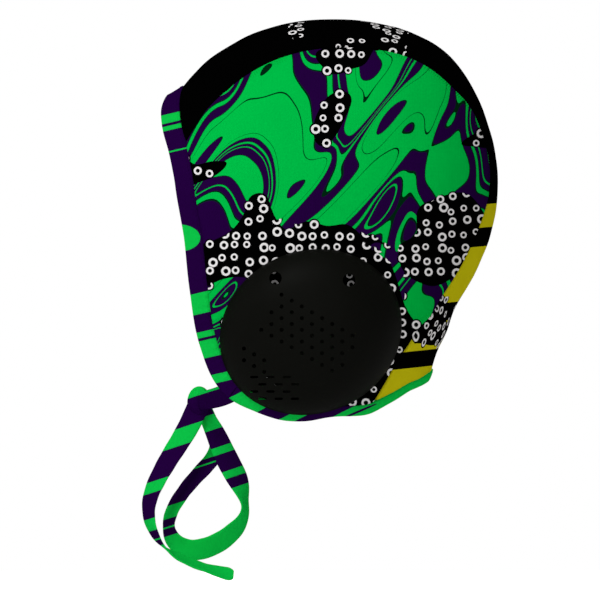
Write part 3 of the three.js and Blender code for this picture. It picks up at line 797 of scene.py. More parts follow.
# spots where the bubbles gather: middle (y and z), half length and half height in metres
sidePrint = {
    "spots": [(-0.016, -0.176, 0.085, 0.078), (0.068, -0.165, 0.045, 0.085)],
    "calm": 0.02,  # fewer bubbles away from the spots
    "pull": 0.11,  # and more on them
    "bubbleShift": 1.7,
    "marbleShift": 5.5,
    "forward": (0.03, -0.07),  # y where the inks start to lean and where they lean in full
    "low": (-0.1, -0.19),  # the same for z
    "lean": 0.15,
    "leanSwing": 0.36,
    "paintedShadeOval": {"y": -0.031, "z": -0.195, "long": 0.036, "high": 0.026, "tilt": 0.384},  # painted shade: plain black cloth behind the slots, where the guard casts its shade
}


spotCore = 0.25  # squared share of a spot's reach that has its full pull


def spotNearness(tree, place, spot):  # 1 at a spot's middle, 0 past its border
    y, z, long, high = spot
    away = [
        calc(tree, "POWER", calc(tree, "DIVIDE", calc(tree, "SUBTRACT", place[k], middle), half), 2.0)
        for k, middle, half in ((1, y, long), (2, z, high))
    ]
    return softStep(tree, calc(tree, "ADD", *away), 1.0, spotCore)


def withBubbles(tree, base, across, along, shift, level):
    inputs = {"Across": across, "Along": along, "Shift": shift, "Level": level}
    bubbles = useGroup(tree, bubbleGroup, inputs)
    ground = mixColour(tree, bubbles["Ground"], base, palette["black"])
    return mixColour(tree, bubbles["Rings"], ground, palette["white"])


def panelPrint(tree, across, along, place):
    forward = softStep(tree, across, *sidePrint["forward"])
    outer = calc(tree, "MAXIMUM", forward, softStep(tree, along, *sidePrint["low"]))
    lean = calc(tree, "MULTIPLY_ADD", outer, sidePrint["leanSwing"], sidePrint["lean"])
    inputs = {"Across": across, "Along": along, "Shift": sidePrint["marbleShift"], "Lean": lean}
    base = useGroup(tree, marbleGroup, inputs)["Colour"]
    near = calc(tree, "MAXIMUM", *(spotNearness(tree, place, spot) for spot in sidePrint["spots"]))
    level = calc(tree, "MULTIPLY_ADD", near, -sidePrint["pull"], bubbleSetup["level"] + sidePrint["calm"])
    printed = withBubbles(tree, base, across, along, sidePrint["bubbleShift"], level)
    # painted shade: black ground and no bubbles on the cloth under the guard's slots
    return mixColour(tree, ovalMask(tree, place, sidePrint["paintedShadeOval"]), printed, palette["black"])


# yellow bars down the nape: start and end in metres of the slanting coordinate
napeBars = {
    "rows": [(0.1122, 0.1255), (0.1362, 0.1661), (0.1758, 0.1915), (0.2010, 0.2170)],
    "slope": 0.1,
    "span": (0.1, 0.26),
}
# spots of bubbles over the crown and at the nape, and how far each lowers the level that keeps them off
centreBubbles = {
    "shift": 0.83,
    "level": 1.06,
    "spots": [((0.01, 0.0, 0.055, 0.06), 0.57), ((0.066, -0.178, 0.04, 0.036), 0.48)],
}


def centrePlaces(tree, place):  # across the panel and along it, as metres round the head's middle
    up = calc(tree, "ADD", place[2], headForm["crownRise"])
    angle = calc(tree, "ARCTAN2", place[1], up)
    squares = calc(tree, "ADD", calc(tree, "POWER", place[1], 2.0), calc(tree, "POWER", up, 2.0))
    lean = calc(tree, "ARCTAN2", place[0], calc(tree, "SQRT", squares))
    return [calc(tree, "MULTIPLY", turn, headForm["crownRise"]) for turn in (lean, angle)]


def centrePrint(tree, across, along, place):
    bars = stripes(tree, place, napeBars, "yellow", "black")
    back = calc(tree, "GREATER_THAN", place[1], 0.0)
    base = mixColour(tree, back, palette["black"], bars)
    pulls = [(spotNearness(tree, place, spot), pull) for spot, pull in centreBubbles["spots"]]
    level = calc(tree, "SUBTRACT", centreBubbles["level"], weighted(tree, pulls))
    return withBubbles(tree, base, across, along, centreBubbles["shift"], level)


# stripes of each tape as (start, end) in metres of its slanting coordinate, and an oval in one colour on some
tapeStripes = {
    "face": {
        "rows": [
            (0.0309, 0.0353), (0.0378, 0.0402), (0.0517, 0.0529), (0.1366, 0.1480), (0.1589, 0.1616),
            (0.1638, 0.1743), (0.1846, 0.1892),
        ],
        "slope": 0.23,
        "span": (0.0, 0.22),
        "oval": {"y": -0.0889, "z": -0.1233, "long": 0.0125, "high": 0.0077},
        "ovalInk": "tapeGreen",
    },
    "neck": {
        "rows": [(0.183, 0.1992), (0.2099, 0.215), (0.223, 0.4)],
        "slope": 0.5,
        "span": (0.15, 0.42),
        "oval": {"y": 0.0137, "z": -0.2213, "long": 0.0107, "high": 0.0007, "tilt": 0.4},
        "ovalInk": "purple",
    },
    "freeEnd": {
        "rows": [
            (0.2018, 0.2114), (0.2263, 0.2321), (0.2324, 0.2329), (0.2477, 0.2543), (0.2599, 0.2610),
            (0.2643, 0.36),
        ],
    },
    "knot": {"rows": [(0.15, 0.1865), (0.2014, 0.2114)]},
    "loopStart": {"rows": [(0.1998, 0.2091), (0.2198, 0.2238), (0.2351, 0.2397), (0.2460, 0.36)]},
    "loopReturn": {
        "rows": [(0.15, 0.2240), (0.2263, 0.2274), (0.2435, 0.2512), (0.2558, 0.2567), (0.2611, 0.36)],
    },
}
hangingSlant = {"slope": 1 / 3, "span": (0.14, 0.37)}  # of the knot and the tapes below it
earHem = {"y": -0.0139, "z": -0.1806, "long": 0.042, "high": 0.034, "tilt": 0.384}  # inside, black


def ovalMask(tree, place, shape):
    cos, sin = math.cos(shape.get("tilt", 0)), math.sin(shape.get("tilt", 0))
    y = calc(tree, "SUBTRACT", place[1], shape["y"])
    z = calc(tree, "SUBTRACT", place[2], shape["z"])
    long = weighted(tree, [(y, cos / shape["long"]), (z, sin / shape["long"])])
    high = weighted(tree, [(y, -sin / shape["high"]), (z, cos / shape["high"])])
    squares = calc(tree, "ADD", calc(tree, "POWER", long, 2.0), calc(tree, "POWER", high, 2.0))
    return calc(tree, "LESS_THAN", squares, 1.0)


def tapeColour(name):
    setup = {**hangingSlant, **tapeStripes[name]}

    def colourAt(tree, across, along, place):
        base = stripes(tree, place, setup, "tapeGreen", "purple")
        if "oval" not in setup:
            return base
        return mixColour(tree, ovalMask(tree, place, setup["oval"]), base, palette[setup["ovalInk"]])

    return colourAt


def mottled(first, second, share, scale=220.0):  # one colour with some of a second in soft spots
    def colourAt(tree, across, along, place):
        tone = addNode(tree, "ShaderNodeTexNoise", {"Scale": scale, "Detail": 2.0}).outputs["Fac"]
        return mixColour(tree, calc(tree, "MULTIPLY", tone, share), palette[first], palette[second])

    return colourAt


def liningColour(tree, across, along, place):
    plain = mottled("lining", "green", share=0.22, scale=40.0)(tree, across, along, place)
    return mixColour(tree, ovalMask(tree, place, earHem), plain, palette["black"])


guardFinish = {
    "rough": 0.42,
    "roughSwing": 0.16,
    "specular": 0.022,
    "wear": 0.5,
    "wearScale": 45.0,
    "grain": 0.00004,
    "grainScale": 2600.0,
}


def guardMaterial():
    material = bpy.data.materials.new("mouldedPlastic")
    material.use_nodes = True
    tree = material.node_tree
    shader = tree.nodes["Principled BSDF"]
    coordinates = addNode(tree, "ShaderNodeTexCoord").outputs["Object"]
    fine, slow = (
        addNode(
            tree, "ShaderNodeTexNoise", {"Vector": coordinates, "Scale": guardFinish[scale], "Detail": 3.0}
        ).outputs["Fac"]
        for scale in ("grainScale", "wearScale")
    )
    share = calc(tree, "MULTIPLY", slow, guardFinish["wear"])
    worn = mixColour(tree, share, palette["guard"], palette["guardWorn"])
    tree.links.new(worn, shader.inputs["Base Color"])
    rough = calc(tree, "MULTIPLY_ADD", slow, guardFinish["roughSwing"], guardFinish["rough"])
    tree.links.new(rough, shader.inputs["Roughness"])
    bump = addNode(tree, "ShaderNodeBump", {"Height": fine, "Distance": guardFinish["grain"]})
    tree.links.new(bump.outputs["Normal"], shader.inputs["Normal"])
    shader.inputs["Specular IOR Level"].default_value = guardFinish["specular"]
    return material


printedCloth = clothMaterial("printedCloth", panelPrint, clothFinish)
centreCloth = clothMaterial("centreCloth", centrePrint, clothFinish, centrePlaces)
liningCloth = clothMaterial("liningCloth", liningColour, clothFinish)
seamThread = clothMaterial("seamThread", mottled("black", "guardWorn", share=0.5), tapeFinish)
faceTape, neckTape, freeEndTape, loopStartTape, loopReturnTape, knotTape = (
    clothMaterial(name + "Tape", tapeColour(name), tapeFinish)
    for name in ("face", "neck", "freeEnd", "loopStart", "loopReturn", "knot")
)
backTape = clothMaterial("backTape", mottled("tapeGreen", "green", share=0.12), tapeFinish)
plastic = guardMaterial()
print("stage: materials")


# slow waves of the cloth, and the ripples that run out from the jaw corner
def clothWave(points):
    k = 2 * math.pi / cloth["slackLength"]
    x, y, z = points[..., 0], points[..., 1], points[..., 2]
    swing = cloth["slackSwing"] * np.sin(cloth["swingRate"] * k * (z - cloth["swingLean"] * y))
    slow = np.sin(k * (y + cloth["slackLean"] * z) + swing) * np.sin(cloth["slackCross"] * k * (x + z))
    corner = skinPoint(*cornerPlace, 0)
    away = np.stack([np.abs(x), y, z], -1) - corner
    distance = np.linalg.norm(away, axis=-1)
    angle = np.arctan2(away[..., 2], away[..., 1])
    fall = np.exp(-((distance / cloth["pullReach"]) ** 2)) * np.clip(distance / cloth["pullStart"], 0, 1)
    return cloth["slack"] * slow + cloth["pull"] * fall * np.sin(cloth["pullRays"] * angle)


def roundedDepth(distance):  # outer skin's depth near a cut edge, at a distance in from it
    near = np.clip(1 - distance / cloth["roundEdge"], 0, 1)
    rounding = (cloth["wall"] - cloth["edgeDepth"]) * (1 - np.sqrt(1 - near**2))
    return cloth["wall"] - cloth["seamDip"] * np.exp(-distance / cloth["dipReach"]) - rounding


earOpening = {"halfLength": 0.038, "halfHeight": 0.03, "tilt": 22, "y": -0.0139, "z": -0.1806}
panelGrid = {
    "seamSteps": 2000,  # the seam is measured in this many short lengths
    "seamColumns": 500,
    "edgeColumns": 190,
    "outerRows": 52,
    "innerRows": 22,
    "crowding": 1.7,  # of rows towards the rim
}


# the left side panel's outline as turn and around: over the seam, then along the bound edge
def panelOutline():
    front, back = frontTurn(1.0), backTurn(1.0)
    seamTurns = np.linspace(front, back, panelGrid["seamSteps"] + 1)
    seam = np.stack([seamTurns, moveAround(seamTurns, seamAround(seamTurns), -cloth["seamGap"] / 2)], 1)
    inside = (clothTurn < front) & (clothTurn > back - 360)
    lower = np.stack([clothTurn[inside], clothAroundAt[inside]], 1)[::-1]
    runs = []
    for places, count in ((seam, panelGrid["seamColumns"]), (lower, panelGrid["edgeColumns"])):
        shares = evenShares(headPoint(places[:, 0], places[:, 1]), count)
        runs.append(np.stack([np.interp(shares, np.arange(len(places)), places[:, k]) for k in (0, 1)], 1))
    onSeam = np.concatenate([np.ones(len(runs[0])), np.zeros(len(runs[1]))])
    return np.vstack(runs), onSeam


def makeSidePanel():
    outline, onSeam = panelOutline()
    rim = headPoint(outline[:, 0], outline[:, 1])
    tilt = math.radians(earOpening["tilt"])
    y, z = rim[:, 1] - earOpening["y"], rim[:, 2] - earOpening["z"]
    long = y * math.cos(tilt) + z * math.sin(tilt)
    high = -y * math.sin(tilt) + z * math.cos(tilt)
    stretch = 1 / np.hypot(long / earOpening["halfLength"], high / earOpening["halfHeight"])
    sections = []
    outer = 1 - (1 - np.linspace(0, 1, panelGrid["outerRows"])) ** panelGrid["crowding"]
    inner = np.linspace(1, 0, panelGrid["innerRows"])
    for share, out in [(s, True) for s in outer] + [(s, False) for s in inner]:
        reach = stretch + (1 - stretch) * share
        turn, around = sidePlace(earOpening["y"] + y * reach, earOpening["z"] + z * reach)
        if share == 1:
            turn, around = outline[:, 0], outline[:, 1]
        base = headPoint(turn, around)
        fromRim = np.linalg.norm(base - rim, axis=-1)
        fromHole = np.linalg.norm(np.stack([y, z], 1) * (reach - stretch)[:, None], axis=-1)
        depth = roundedDepth(np.where(onSeam > 0, fromRim, 1.0)) if out else np.zeros(len(base))
        if out:
            noDip = cloth["seamDip"] * np.exp(-fromHole / cloth["dipReach"])
            depth = np.minimum(depth, roundedDepth(fromHole) + noDip)
        depth = depth + clothWave(base) * np.clip(fromRim / cloth["calmRim"], 0, 1)
        sections.append(skinPoint(turn, around, depth))
    sections = np.stack(sections, 1)
    slots = np.zeros(sections.shape[1], int)
    slots[panelGrid["outerRows"] : -1] = 1
    left = sweptObject(
        "sidePanelLeft", sections, [printedCloth, liningCloth], ring=True, slots=slots, sharp=60
    )
    right = mirroredObject(left, "sidePanelRight")
    finishPiece(left, "printed_cloth", "side_panel_left")
    finishPiece(right, "printed_cloth", "side_panel_right")


centreGrid = {"along": 420, "outerColumns": 70, "innerColumns": 30, "crowding": 1.5}


def makeCentrePanel():
    def across(count):
        share = np.linspace(-1, 1, count)
        return np.sign(share) * (1 - (1 - np.abs(share)) ** centreGrid["crowding"])

    columns = [(u, True) for u in across(centreGrid["outerColumns"])]
    columns += [(u, False) for u in across(centreGrid["innerColumns"])[::-1]]
    sections = []
    for u, out in columns:
        first, last = float(backTurn(abs(u))), float(frontTurn(abs(u)))
        turn = np.linspace(first, last, centreGrid["along"])
        seam = moveAround(turn, seamAround(turn), cloth["seamGap"] / 2)
        left = 1 - abs(u) * (1 - seam)
        around = left if u >= 0 else 2 - left
        base = headPoint(turn, around)
        toSeam = np.linalg.norm(base - headPoint(turn, seam if u >= 0 else 2 - seam), axis=-1)
        depth = roundedDepth(toSeam) if out else np.zeros(len(turn))
        ends = np.clip(np.minimum(turn - turn.min(), turn.max() - turn) / cloth["calmTurn"], 0, 1)
        depth = depth + clothWave(base) * ends * np.clip(toSeam / cloth["calmRim"], 0, 1)
        sections.append(skinPoint(turn, around, depth))
    sections = np.stack(sections, 1)
    slots = np.zeros(sections.shape[1], int)
    slots[centreGrid["outerColumns"] : -1] = 1
    panel = sweptObject("centrePanel", sections, [centreCloth, liningCloth], slots=slots, sharp=60)
    finishPiece(panel, "centre_cloth", "centre_panel")


threadRows = np.array([  # share of the length, of the radius, and lift in radii
    (0.0, 0.35, -0.9), (0.16, 0.85, 0.1), (0.5, 1.0, 0.45), (0.84, 0.85, 0.1), (1.0, 0.35, -0.9),
])
threadSides = 6


# a row of small threads, each from start to end on the cloth and sunk at both ends
def makeThreads(name, starts, ends, normals, radius, material, slot):
    shares, swell, lift = threadRows.T
    sides = threadSides
    along = unit(ends - starts)
    wide = unit(np.cross(normals, along))
    angle = 2 * math.pi * np.arange(sides) / sides
    middle = starts[:, None] + (ends - starts)[:, None] * shares[None, :, None]
    middle = middle + normals[:, None] * (lift * radius)[None, :, None]
    ring = (
        wide[:, None, None] * np.cos(angle)[None, None, :, None]
        + normals[:, None, None] * np.sin(angle)[None, None, :, None]
    )
    points = middle[:, :, None] + ring * (swell * radius)[None, :, None, None]
    count, rows = len(starts), len(shares)
    faces = []
    for base in range(0, count * rows * sides, rows * sides):
        for i in range(rows - 1):
            for k in range(sides):
                a, b = base + i * sides + k, base + i * sides + (k + 1) % sides
                faces.append((a, b, b + sides, a + sides))
        faces.append(tuple(range(base, base + sides)))
        faces.append(tuple(range(base + (rows - 1) * sides, base + rows * sides)))
    threads = meshObject(name, points.reshape(-1, 3), faces, [material], sharp=80)
    return finishPiece(threads, slot)


seamStitch = {
    "pitch": 0.00145,
    "start": 0.0007,  # from the seam
    "length": 0.0046,
    "radius": 0.0003,
    "sink": 0.6,  # share of the seam's dip
    "steps": 3000,
    "leftOff": 4,  # at each end
}


def makeSeamStitches():
    turns = np.linspace(frontTurn(1.0), backTurn(1.0), seamStitch["steps"] + 1)
    base = headPoint(turns, seamAround(turns))
    length = np.linalg.norm(np.diff(base, axis=0), axis=1).sum()
    off = seamStitch["leftOff"]
    shares = evenShares(base, int(length / seamStitch["pitch"]))[off:-off]
    turn = np.interp(shares, np.arange(len(turns)), turns)
    seam = seamAround(turn)
    for side, sign in (("Left", 1), ("Right", -1)):
        inner = moveAround(turn, seam, -seamStitch["start"])
        outer = moveAround(turn, seam, -seamStitch["start"] - seamStitch["length"])
        sunk = cloth["wall"] - cloth["seamDip"] * seamStitch["sink"]
        starts = skinPoint(turn, inner, np.full(len(turn), sunk))
        ends = skinPoint(turn, outer, np.full(len(turn), cloth["wall"]))
        normals = headNormal(turn, inner)
        flip = np.array([sign, 1, 1])
        rows = (starts * flip, ends * flip, normals * flip)
        makeThreads("seamStitches" + side, *rows, seamStitch["radius"], printedCloth, "printed_cloth")


seamBand = {
    "halfWidth": 0.0021,
    "thick": 0.0004,
    "thinning": 0.6,  # towards its sides
    "lap": 0.0001,
    "stations": 400,
    "columns": 7,
}


# the overlocked edges inside each seam, which close it
def makeSeamBands():
    turns = np.linspace(frontTurn(1.0), backTurn(1.0), panelGrid["seamSteps"] + 1)
    shares = evenShares(headPoint(turns, seamAround(turns)), seamBand["stations"])
    turn = np.interp(shares, np.arange(len(turns)), turns)
    across = np.linspace(-1, 1, seamBand["columns"])
    rows = [(u, seamBand["lap"]) for u in across]
    rows += [(u, -seamBand["thick"] * (1 - seamBand["thinning"] * u * u)) for u in across[::-1]]
    columns = []
    for u, depth in rows:
        around = moveAround(turn, seamAround(turn), u * seamBand["halfWidth"])
        columns.append(skinPoint(turn, around, np.full(len(turn), depth)))
    left = sweptObject("seamBandLeft", np.stack(columns, 1), [seamThread])
    finishPiece(left, "centre_cloth")
    finishPiece(mirroredObject(left, "seamBandRight"), "centre_cloth")


makeSidePanel()
makeCentrePanel()
makeSeamStitches()
makeSeamBands()
print("stage: cloth panels and seams")

bindingGrid = {"outer": 14, "fold": 9, "inner": 6, "faceStations": 300, "neckStations": 250}


def bindingSection(width):  # share from the cloth side, 0, to the free edge, 1, and depth, round a section
    half = (binding["wall"] - binding["inner"]) / 2
    middle = (binding["wall"] + binding["inner"]) / 2
    foldShare = 1 - half / width
    shares = np.linspace(0, foldShare, bindingGrid["outer"])
    lip = cloth["wall"] - binding["lip"]
    edgeRound = np.sqrt(np.clip(1 - (1 - shares * width / binding["lipRound"]).clip(0, 1) ** 2, 0, 1))
    crown = binding["crown"] * np.sin(math.pi * shares / foldShare) ** binding["crownBend"]
    rows = [(s, lip + (binding["wall"] - lip) * e + c) for s, e, c in zip(shares, edgeRound, crown)]
    for k in range(1, bindingGrid["fold"]):
        angle = math.pi * k / bindingGrid["fold"]
        rows.append((foldShare + math.sin(angle) * half / width, middle + half * math.cos(angle)))
    innerShares = np.linspace(foldShare, binding["innerStart"], bindingGrid["inner"])
    return np.array(rows + [(s, binding["inner"]) for s in innerShares])


def bindingPoints(stations, section):
    columns = []
    run = np.linalg.norm(np.diff(edgePoint, axis=0), axis=1)
    run = np.concatenate([[0], np.cumsum(run)])[stations]
    for share, depth in section:
        turn, around = insideEdge(stations, bindingWidths[stations] * (1 - share))
        stand = edgeFlare[stations] * binding["browFlare"] * np.clip(share, 0, 1) ** binding["flareBend"]
        gather = binding["gather"] * np.sin(2 * math.pi * run / binding["gatherLength"]) * (1 - share)
        points = skinPoint(turn, around, stand + depth + gather)
        points[:, 0] = np.where((stations == 0) | (stations == edgeCount), 0, points[:, 0])
        columns.append(points)
    return np.stack(columns, 1)


bindingStitch = {"pitch": 0.0027, "length": 0.0017, "radius": 0.00021, "inset": 0.0016, "lift": 0.00012}


def makeBinding(name, first, last, count, material, node):
    stations = np.unique(np.round(np.linspace(min(first, last), max(first, last), count)).astype(int))
    width = bindingWidths[last if first == 0 else first]
    half = bindingPoints(stations, bindingSection(width))
    if first > last:
        half, stations = half[::-1], stations[::-1]
    whole = np.concatenate([half[::-1] * np.array([-1, 1, 1]), half[1:]])
    piece = sweptObject(name, whole, [material], sharp=55)
    finishPiece(piece, "striped_tape", node)
    share = bindingStitch["inset"] / width
    line = bindingPoints(stations, np.array([(share, binding["wall"] + bindingStitch["lift"])]))[:, 0]
    normal = headNormal(*insideEdge(stations, bindingWidths[stations] * (1 - share)))
    run = np.concatenate([[0], np.cumsum(np.linalg.norm(np.diff(line, axis=0), axis=1))])
    steps = int(run[-1] / bindingStitch["pitch"])
    gap = bindingStitch["length"] / bindingStitch["pitch"]
    places = np.linspace(0.5, steps - 1.5, steps - 1) / steps

    def at(values, where):
        return np.stack([np.interp(where, run / run[-1], values[:, k]) for k in range(3)], 1)

    rows = (at(line, places), at(line, places + gap / steps), unit(at(normal, places)))
    both = [np.concatenate([row, row * np.array([-1, 1, 1])]) for row in rows]
    makeThreads(name + "Stitches", *both, bindingStitch["radius"], material, "striped_tape")


makeBinding("faceBinding", 0, cornerStation, bindingGrid["faceStations"], faceTape, "face_binding")
makeBinding(
    "neckBinding", edgeCount, cornerStation + 1, bindingGrid["neckStations"], neckTape, "neck_binding"
)
print("stage: bindings")

guard = {
    "halfLength": 0.0524,
    "halfHeight": 0.046,
    "tilt": 22,
    "y": -0.0139,
    "z": -0.1766,
    "dome": 0.02,
    "shoulder": 2.6,
    "round": 0.62,
    "wall": 0.002,
    "seat": 0.0021,
    "ventDiameter": 0.007,
    "ventSides": 32,
    "holeDiameter": 0.0023,
    "holeSides": 14,
    "holePitch": 0.0066,
    "slotLength": 0.0046,
    "slotHeight": 0.0014,
    "slotPitch": 0.0092,
    "slotRowPitch": 0.0041,
    "holeSlant": -30,
    "columns": 200,
    "rows": 46,
    "sharp": 35,  # degrees
}

# fields of perforations: back and up to the first hole as shares of the guard, rows, columns, lift, and
# whether they are slots; lift raises the right guard's rows, as a share of their pitch, so that light
# doesn't pass through both guards
holeFields = [
    (-0.315, 0.46, 5, 8, 0.5, False), (-0.72, -0.2, 2, 3, 0.55, False), (-0.61, -0.55, 4, 3, 0.6, True),
]
ventPlaces = [(-0.38, 0.664), (0.411, 0.64)]


def guardSide(y, z, depth):  # x of the skin seen from the side, at a depth over the head form
    turn, around = sidePlace(y, z)
    return headPoint(turn, around)[..., 0] + depth / headNormal(turn, around)[..., 0]


def makeGuardShell(name):
    tilt = math.radians(guard["tilt"])
    angle = 2 * math.pi * np.arange(guard["columns"]) / guard["columns"]
    share = np.linspace(0, 1, guard["rows"])
    sections = []
    inner = (guard["wall"], guard["dome"] - guard["wall"], share[::-1])
    for inset, height, values in ((0, guard["dome"], share), inner):
        for value in values:
            reach = math.sin(value * math.pi / 2)
            long = (guard["halfLength"] - inset) * reach * np.cos(angle)
            high = (guard["halfHeight"] - inset) * reach * np.sin(angle)
            y = guard["y"] + long * math.cos(tilt) - high * math.sin(tilt)
            z = guard["z"] + long * math.sin(tilt) + high * math.cos(tilt)
            dome = height * (1 - reach ** guard["shoulder"]) ** guard["round"]
            sections.append(np.stack([guardSide(y, z, guard["seat"]) + dome, y, z], -1))
    return sweptObject(
        name, np.stack(sections, 1), [plastic], ring=True, merge=2e-6, sharp=guard["sharp"]
    )


def holeOutline(width, height, sides):  # a disc, or a slot with round ends
    angle = 2 * math.pi * (np.arange(sides) + 0.5) / sides
    radius = height / 2
    y = radius * np.cos(angle) + np.sign(np.cos(angle)) * (width / 2 - radius)
    return np.stack([y, radius * np.sin(angle)], 1)


def holePlaces(lifted):
    places = []
    for back, up, rows, columns, lift, slot in holeFields:
        pitch = guard["slotPitch"] if slot else guard["holePitch"]
        rowPitch = guard["slotRowPitch"] if slot else guard["holePitch"] * math.sqrt(3) / 2
        angle = 0 if slot else math.radians(guard["holeSlant"])
        size = (guard["slotLength"], guard["slotHeight"]) if slot else (guard["holeDiameter"],) * 2
        for row in range(rows):
            for column in range(columns):
                along = pitch * (column + (row % 2) / 2)
                down = rowPitch * (row - lift if lifted else row)
                y = guard["halfLength"] * back + along * math.cos(angle) + down * math.sin(angle)
                z = guard["halfHeight"] * up + along * math.sin(angle) - down * math.cos(angle)
                places.append((y, z, size, guard["holeSides"]))
    for back, up in ventPlaces:
        y, z = guard["halfLength"] * back, guard["halfHeight"] * up
        places.append((y, z, (guard["ventDiameter"],) * 2, guard["ventSides"]))
    return places


def makeCutter(lifted):
    points, faces = [], []
    reach = (headForm["halfBreadth"] / 4, headForm["halfBreadth"] + 2 * guard["dome"])
    for y, z, (width, height), sides in holePlaces(lifted):
        outline = holeOutline(width, height, sides)
        start = len(points)
        for x in reach:
            points += [(x, guard["y"] + y + p[0], guard["z"] + z + p[1]) for p in outline]
        faces.append(tuple(range(start, start + sides)))
        faces.append(tuple(range(start + sides, start + 2 * sides)))
        for k in range(sides):
            a, b = start + k, start + (k + 1) % sides
            faces.append((a, b, b + sides, a + sides))
    return meshObject("holeCutter", np.array(points), faces, [plastic])


def makeEarGuard(name, lifted):
    shell = makeGuardShell(name)
    cutter = makeCutter(lifted)
    cut = shell.modifiers.new("holes", "BOOLEAN")
    cut.operation = "DIFFERENCE"
    cut.solver = "EXACT"
    cut.object = cutter
    bpy.context.view_layer.update()
    evaluated = shell.evaluated_get(bpy.context.evaluated_depsgraph_get())
    mesh = bpy.data.meshes.new_from_object(evaluated)
    shell.modifiers.clear()
    shell.data = mesh
    mesh.set_sharp_from_angle(angle=math.radians(guard["sharp"]))
    bpy.data.objects.remove(cutter)
    return shell


finishPiece(makeEarGuard("earGuardLeft", False), "guard_plastic", "ear_guard_left")
rightGuard = makeEarGuard("rightGuardForm", True)
finishPiece(mirroredObject(rightGuard, "earGuardRight"), "guard_plastic", "ear_guard_right")
bpy.data.objects.remove(rightGuard)
print("stage: ear guards")

tape = {
    "width": 0.013,
    "wall": 0.0012,
    "hang": 0.1,
    "cup": 0.0004,
    "edgeThin": 0.35,
    "edgeSquare": 12,
    "edgeWave": 0.0001,
    "waveLength": 0.011,
    "wavePhase": 1.7,  # of each edge against the middle
    "tipRound": 0.0022,
    "across": 12,  # points over the width
    "freeEndSteps": 240,
    "loopSteps": 280,
    "chinSteps": 89,
    "chinSpan": 12,  # stations of the edge that give the tape its direction there
    "chinLead": 0.003,
    "chinLap": 0.009,  # of the tape behind the bindings
    "chinWidth": 0.9,  # at the jaw corner and at the knot, as shares of the tape's width
    "chinGather": 0.66,
    "chinTurn": 1.3,  # how soon it turns to lie across the knot
    "chinAcross": (0, 0.15, -1.0),
    "chinWave": 0.6,
    "knot": (0, -0.0775, -0.2165),
    "knotHalf": (0.007, 0.007, 0.009),
}

# hanging lengths from the knot: back, down and left as shares of the hang, twist in degrees,
# and width as a share of the tape's, less where it is gathered
freeEndRows = [
    (-0.01, 0.03, 0.02, 10, 0.95), (-0.045, 0.11, 0.03, 20, 1), (-0.095, 0.2, 0.05, 28, 1),
    (-0.18, 0.336, 0.07, 36, 1), (-0.25, 0.465, 0.07, 44, 1), (-0.283, 0.56, 0.08, 52, 1),
    (-0.287, 0.65, 0.09, 60, 1), (-0.262, 0.735, 0.1, 68, 1), (-0.213, 0.81, 0.11, 82, 1),
    (-0.135, 0.872, 0.115, 104, 1), (-0.04, 0.918, 0.115, 108, 1), (0.063, 0.953, 0.11, 109, 1),
    (0.16, 0.978, 0.103, 124, 1), (0.197, 0.985, 0.1, 127, 0.62),
]
loopRows = [
    (0.02, 0.03, -0.01, 0, 0.6), (0.058, 0.11, -0.005, -6, 0.72), (0.095, 0.182, 0.015, -8, 0.87),
    (0.132, 0.268, 0.03, -8, 0.97), (0.18, 0.365, 0.035, -10, 1), (0.232, 0.462, 0.03, -30, 1),
    (0.258, 0.545, 0.02, -70, 1), (0.264, 0.625, 0.01, -76, 1), (0.221, 0.712, -0.005, -45, 1),
    (0.13, 0.793, -0.02, -31, 1), (0.018, 0.841, -0.035, -24, 1), (-0.078, 0.843, -0.05, -26, 1),
    (-0.152, 0.788, -0.06, -46, 1), (-0.177, 0.716, -0.07, -62, 1), (-0.162, 0.632, -0.08, -58, 1),
    (-0.119, 0.553, -0.085, -56, 1), (-0.056, 0.468, -0.088, -54, 1), (0.02, 0.385, -0.088, -50, 1),
    (0.092, 0.3, -0.083, -40, 0.85), (0.105, 0.21, -0.07, -20, 0.7), (0.07, 0.12, -0.05, 0, 0.6),
    (0.03, 0.03, -0.03, 0, 0.6),
]


def turnedAbout(vectors, axes, degrees):  # each vector turned about its own unit axis
    angle = np.radians(degrees)[:, None]
    along = (vectors * axes).sum(1, keepdims=True)
    return (
        vectors * np.cos(angle) + np.cross(axes, vectors) * np.sin(angle) + axes * along * (1 - np.cos(angle))
    )


# flat tape along points, each with a direction across; narrow is its width there as a share
def tapeSections(points, across, narrow, wave=1.0):
    along = unit(np.gradient(points, axis=0))
    wide = unit(across - along * (across * along).sum(1, keepdims=True))
    thick = np.cross(along, wide)
    run = np.concatenate([[0], np.cumsum(np.linalg.norm(np.diff(points, axis=0), axis=1))])
    u = -np.cos(np.linspace(0, math.pi, tape["across"]))
    columns = []
    for side, shares in ((1, u), (-1, u[::-1])):
        for share in shares:
            edge = (1 - abs(share) ** tape["edgeSquare"]) ** 0.5 if abs(share) < 1 else 0
            thin = tape["edgeThin"] + (1 - tape["edgeThin"]) * edge
            lift = side * tape["wall"] / 2 * thin - tape["cup"] * (share**2 - 0.5) * np.minimum(narrow, 1)
            phase = 2 * math.pi * run / tape["waveLength"] + tape["wavePhase"] * np.sign(share)
            ripple = tape["edgeWave"] * wave * share**2 * np.sin(phase)
            offset = wide * (share * tape["width"] / 2 * narrow)[:, None] + thick * (lift + ripple)[:, None]
            columns.append(points + offset)
    return np.stack(columns, 1)


def tapeSlots(front, back):  # material of each strip round the section
    slots = np.full(2 * tape["across"], front)
    slots[tape["across"] : -1] = back
    return slots


def softened(values, window=25):  # a mean over neighbours that leaves both ends where they are
    share = np.hanning(window) / np.hanning(window).sum()
    padded = np.pad(values, window // 2, mode="reflect", reflect_type="odd")
    return np.convolve(padded, share, "valid")


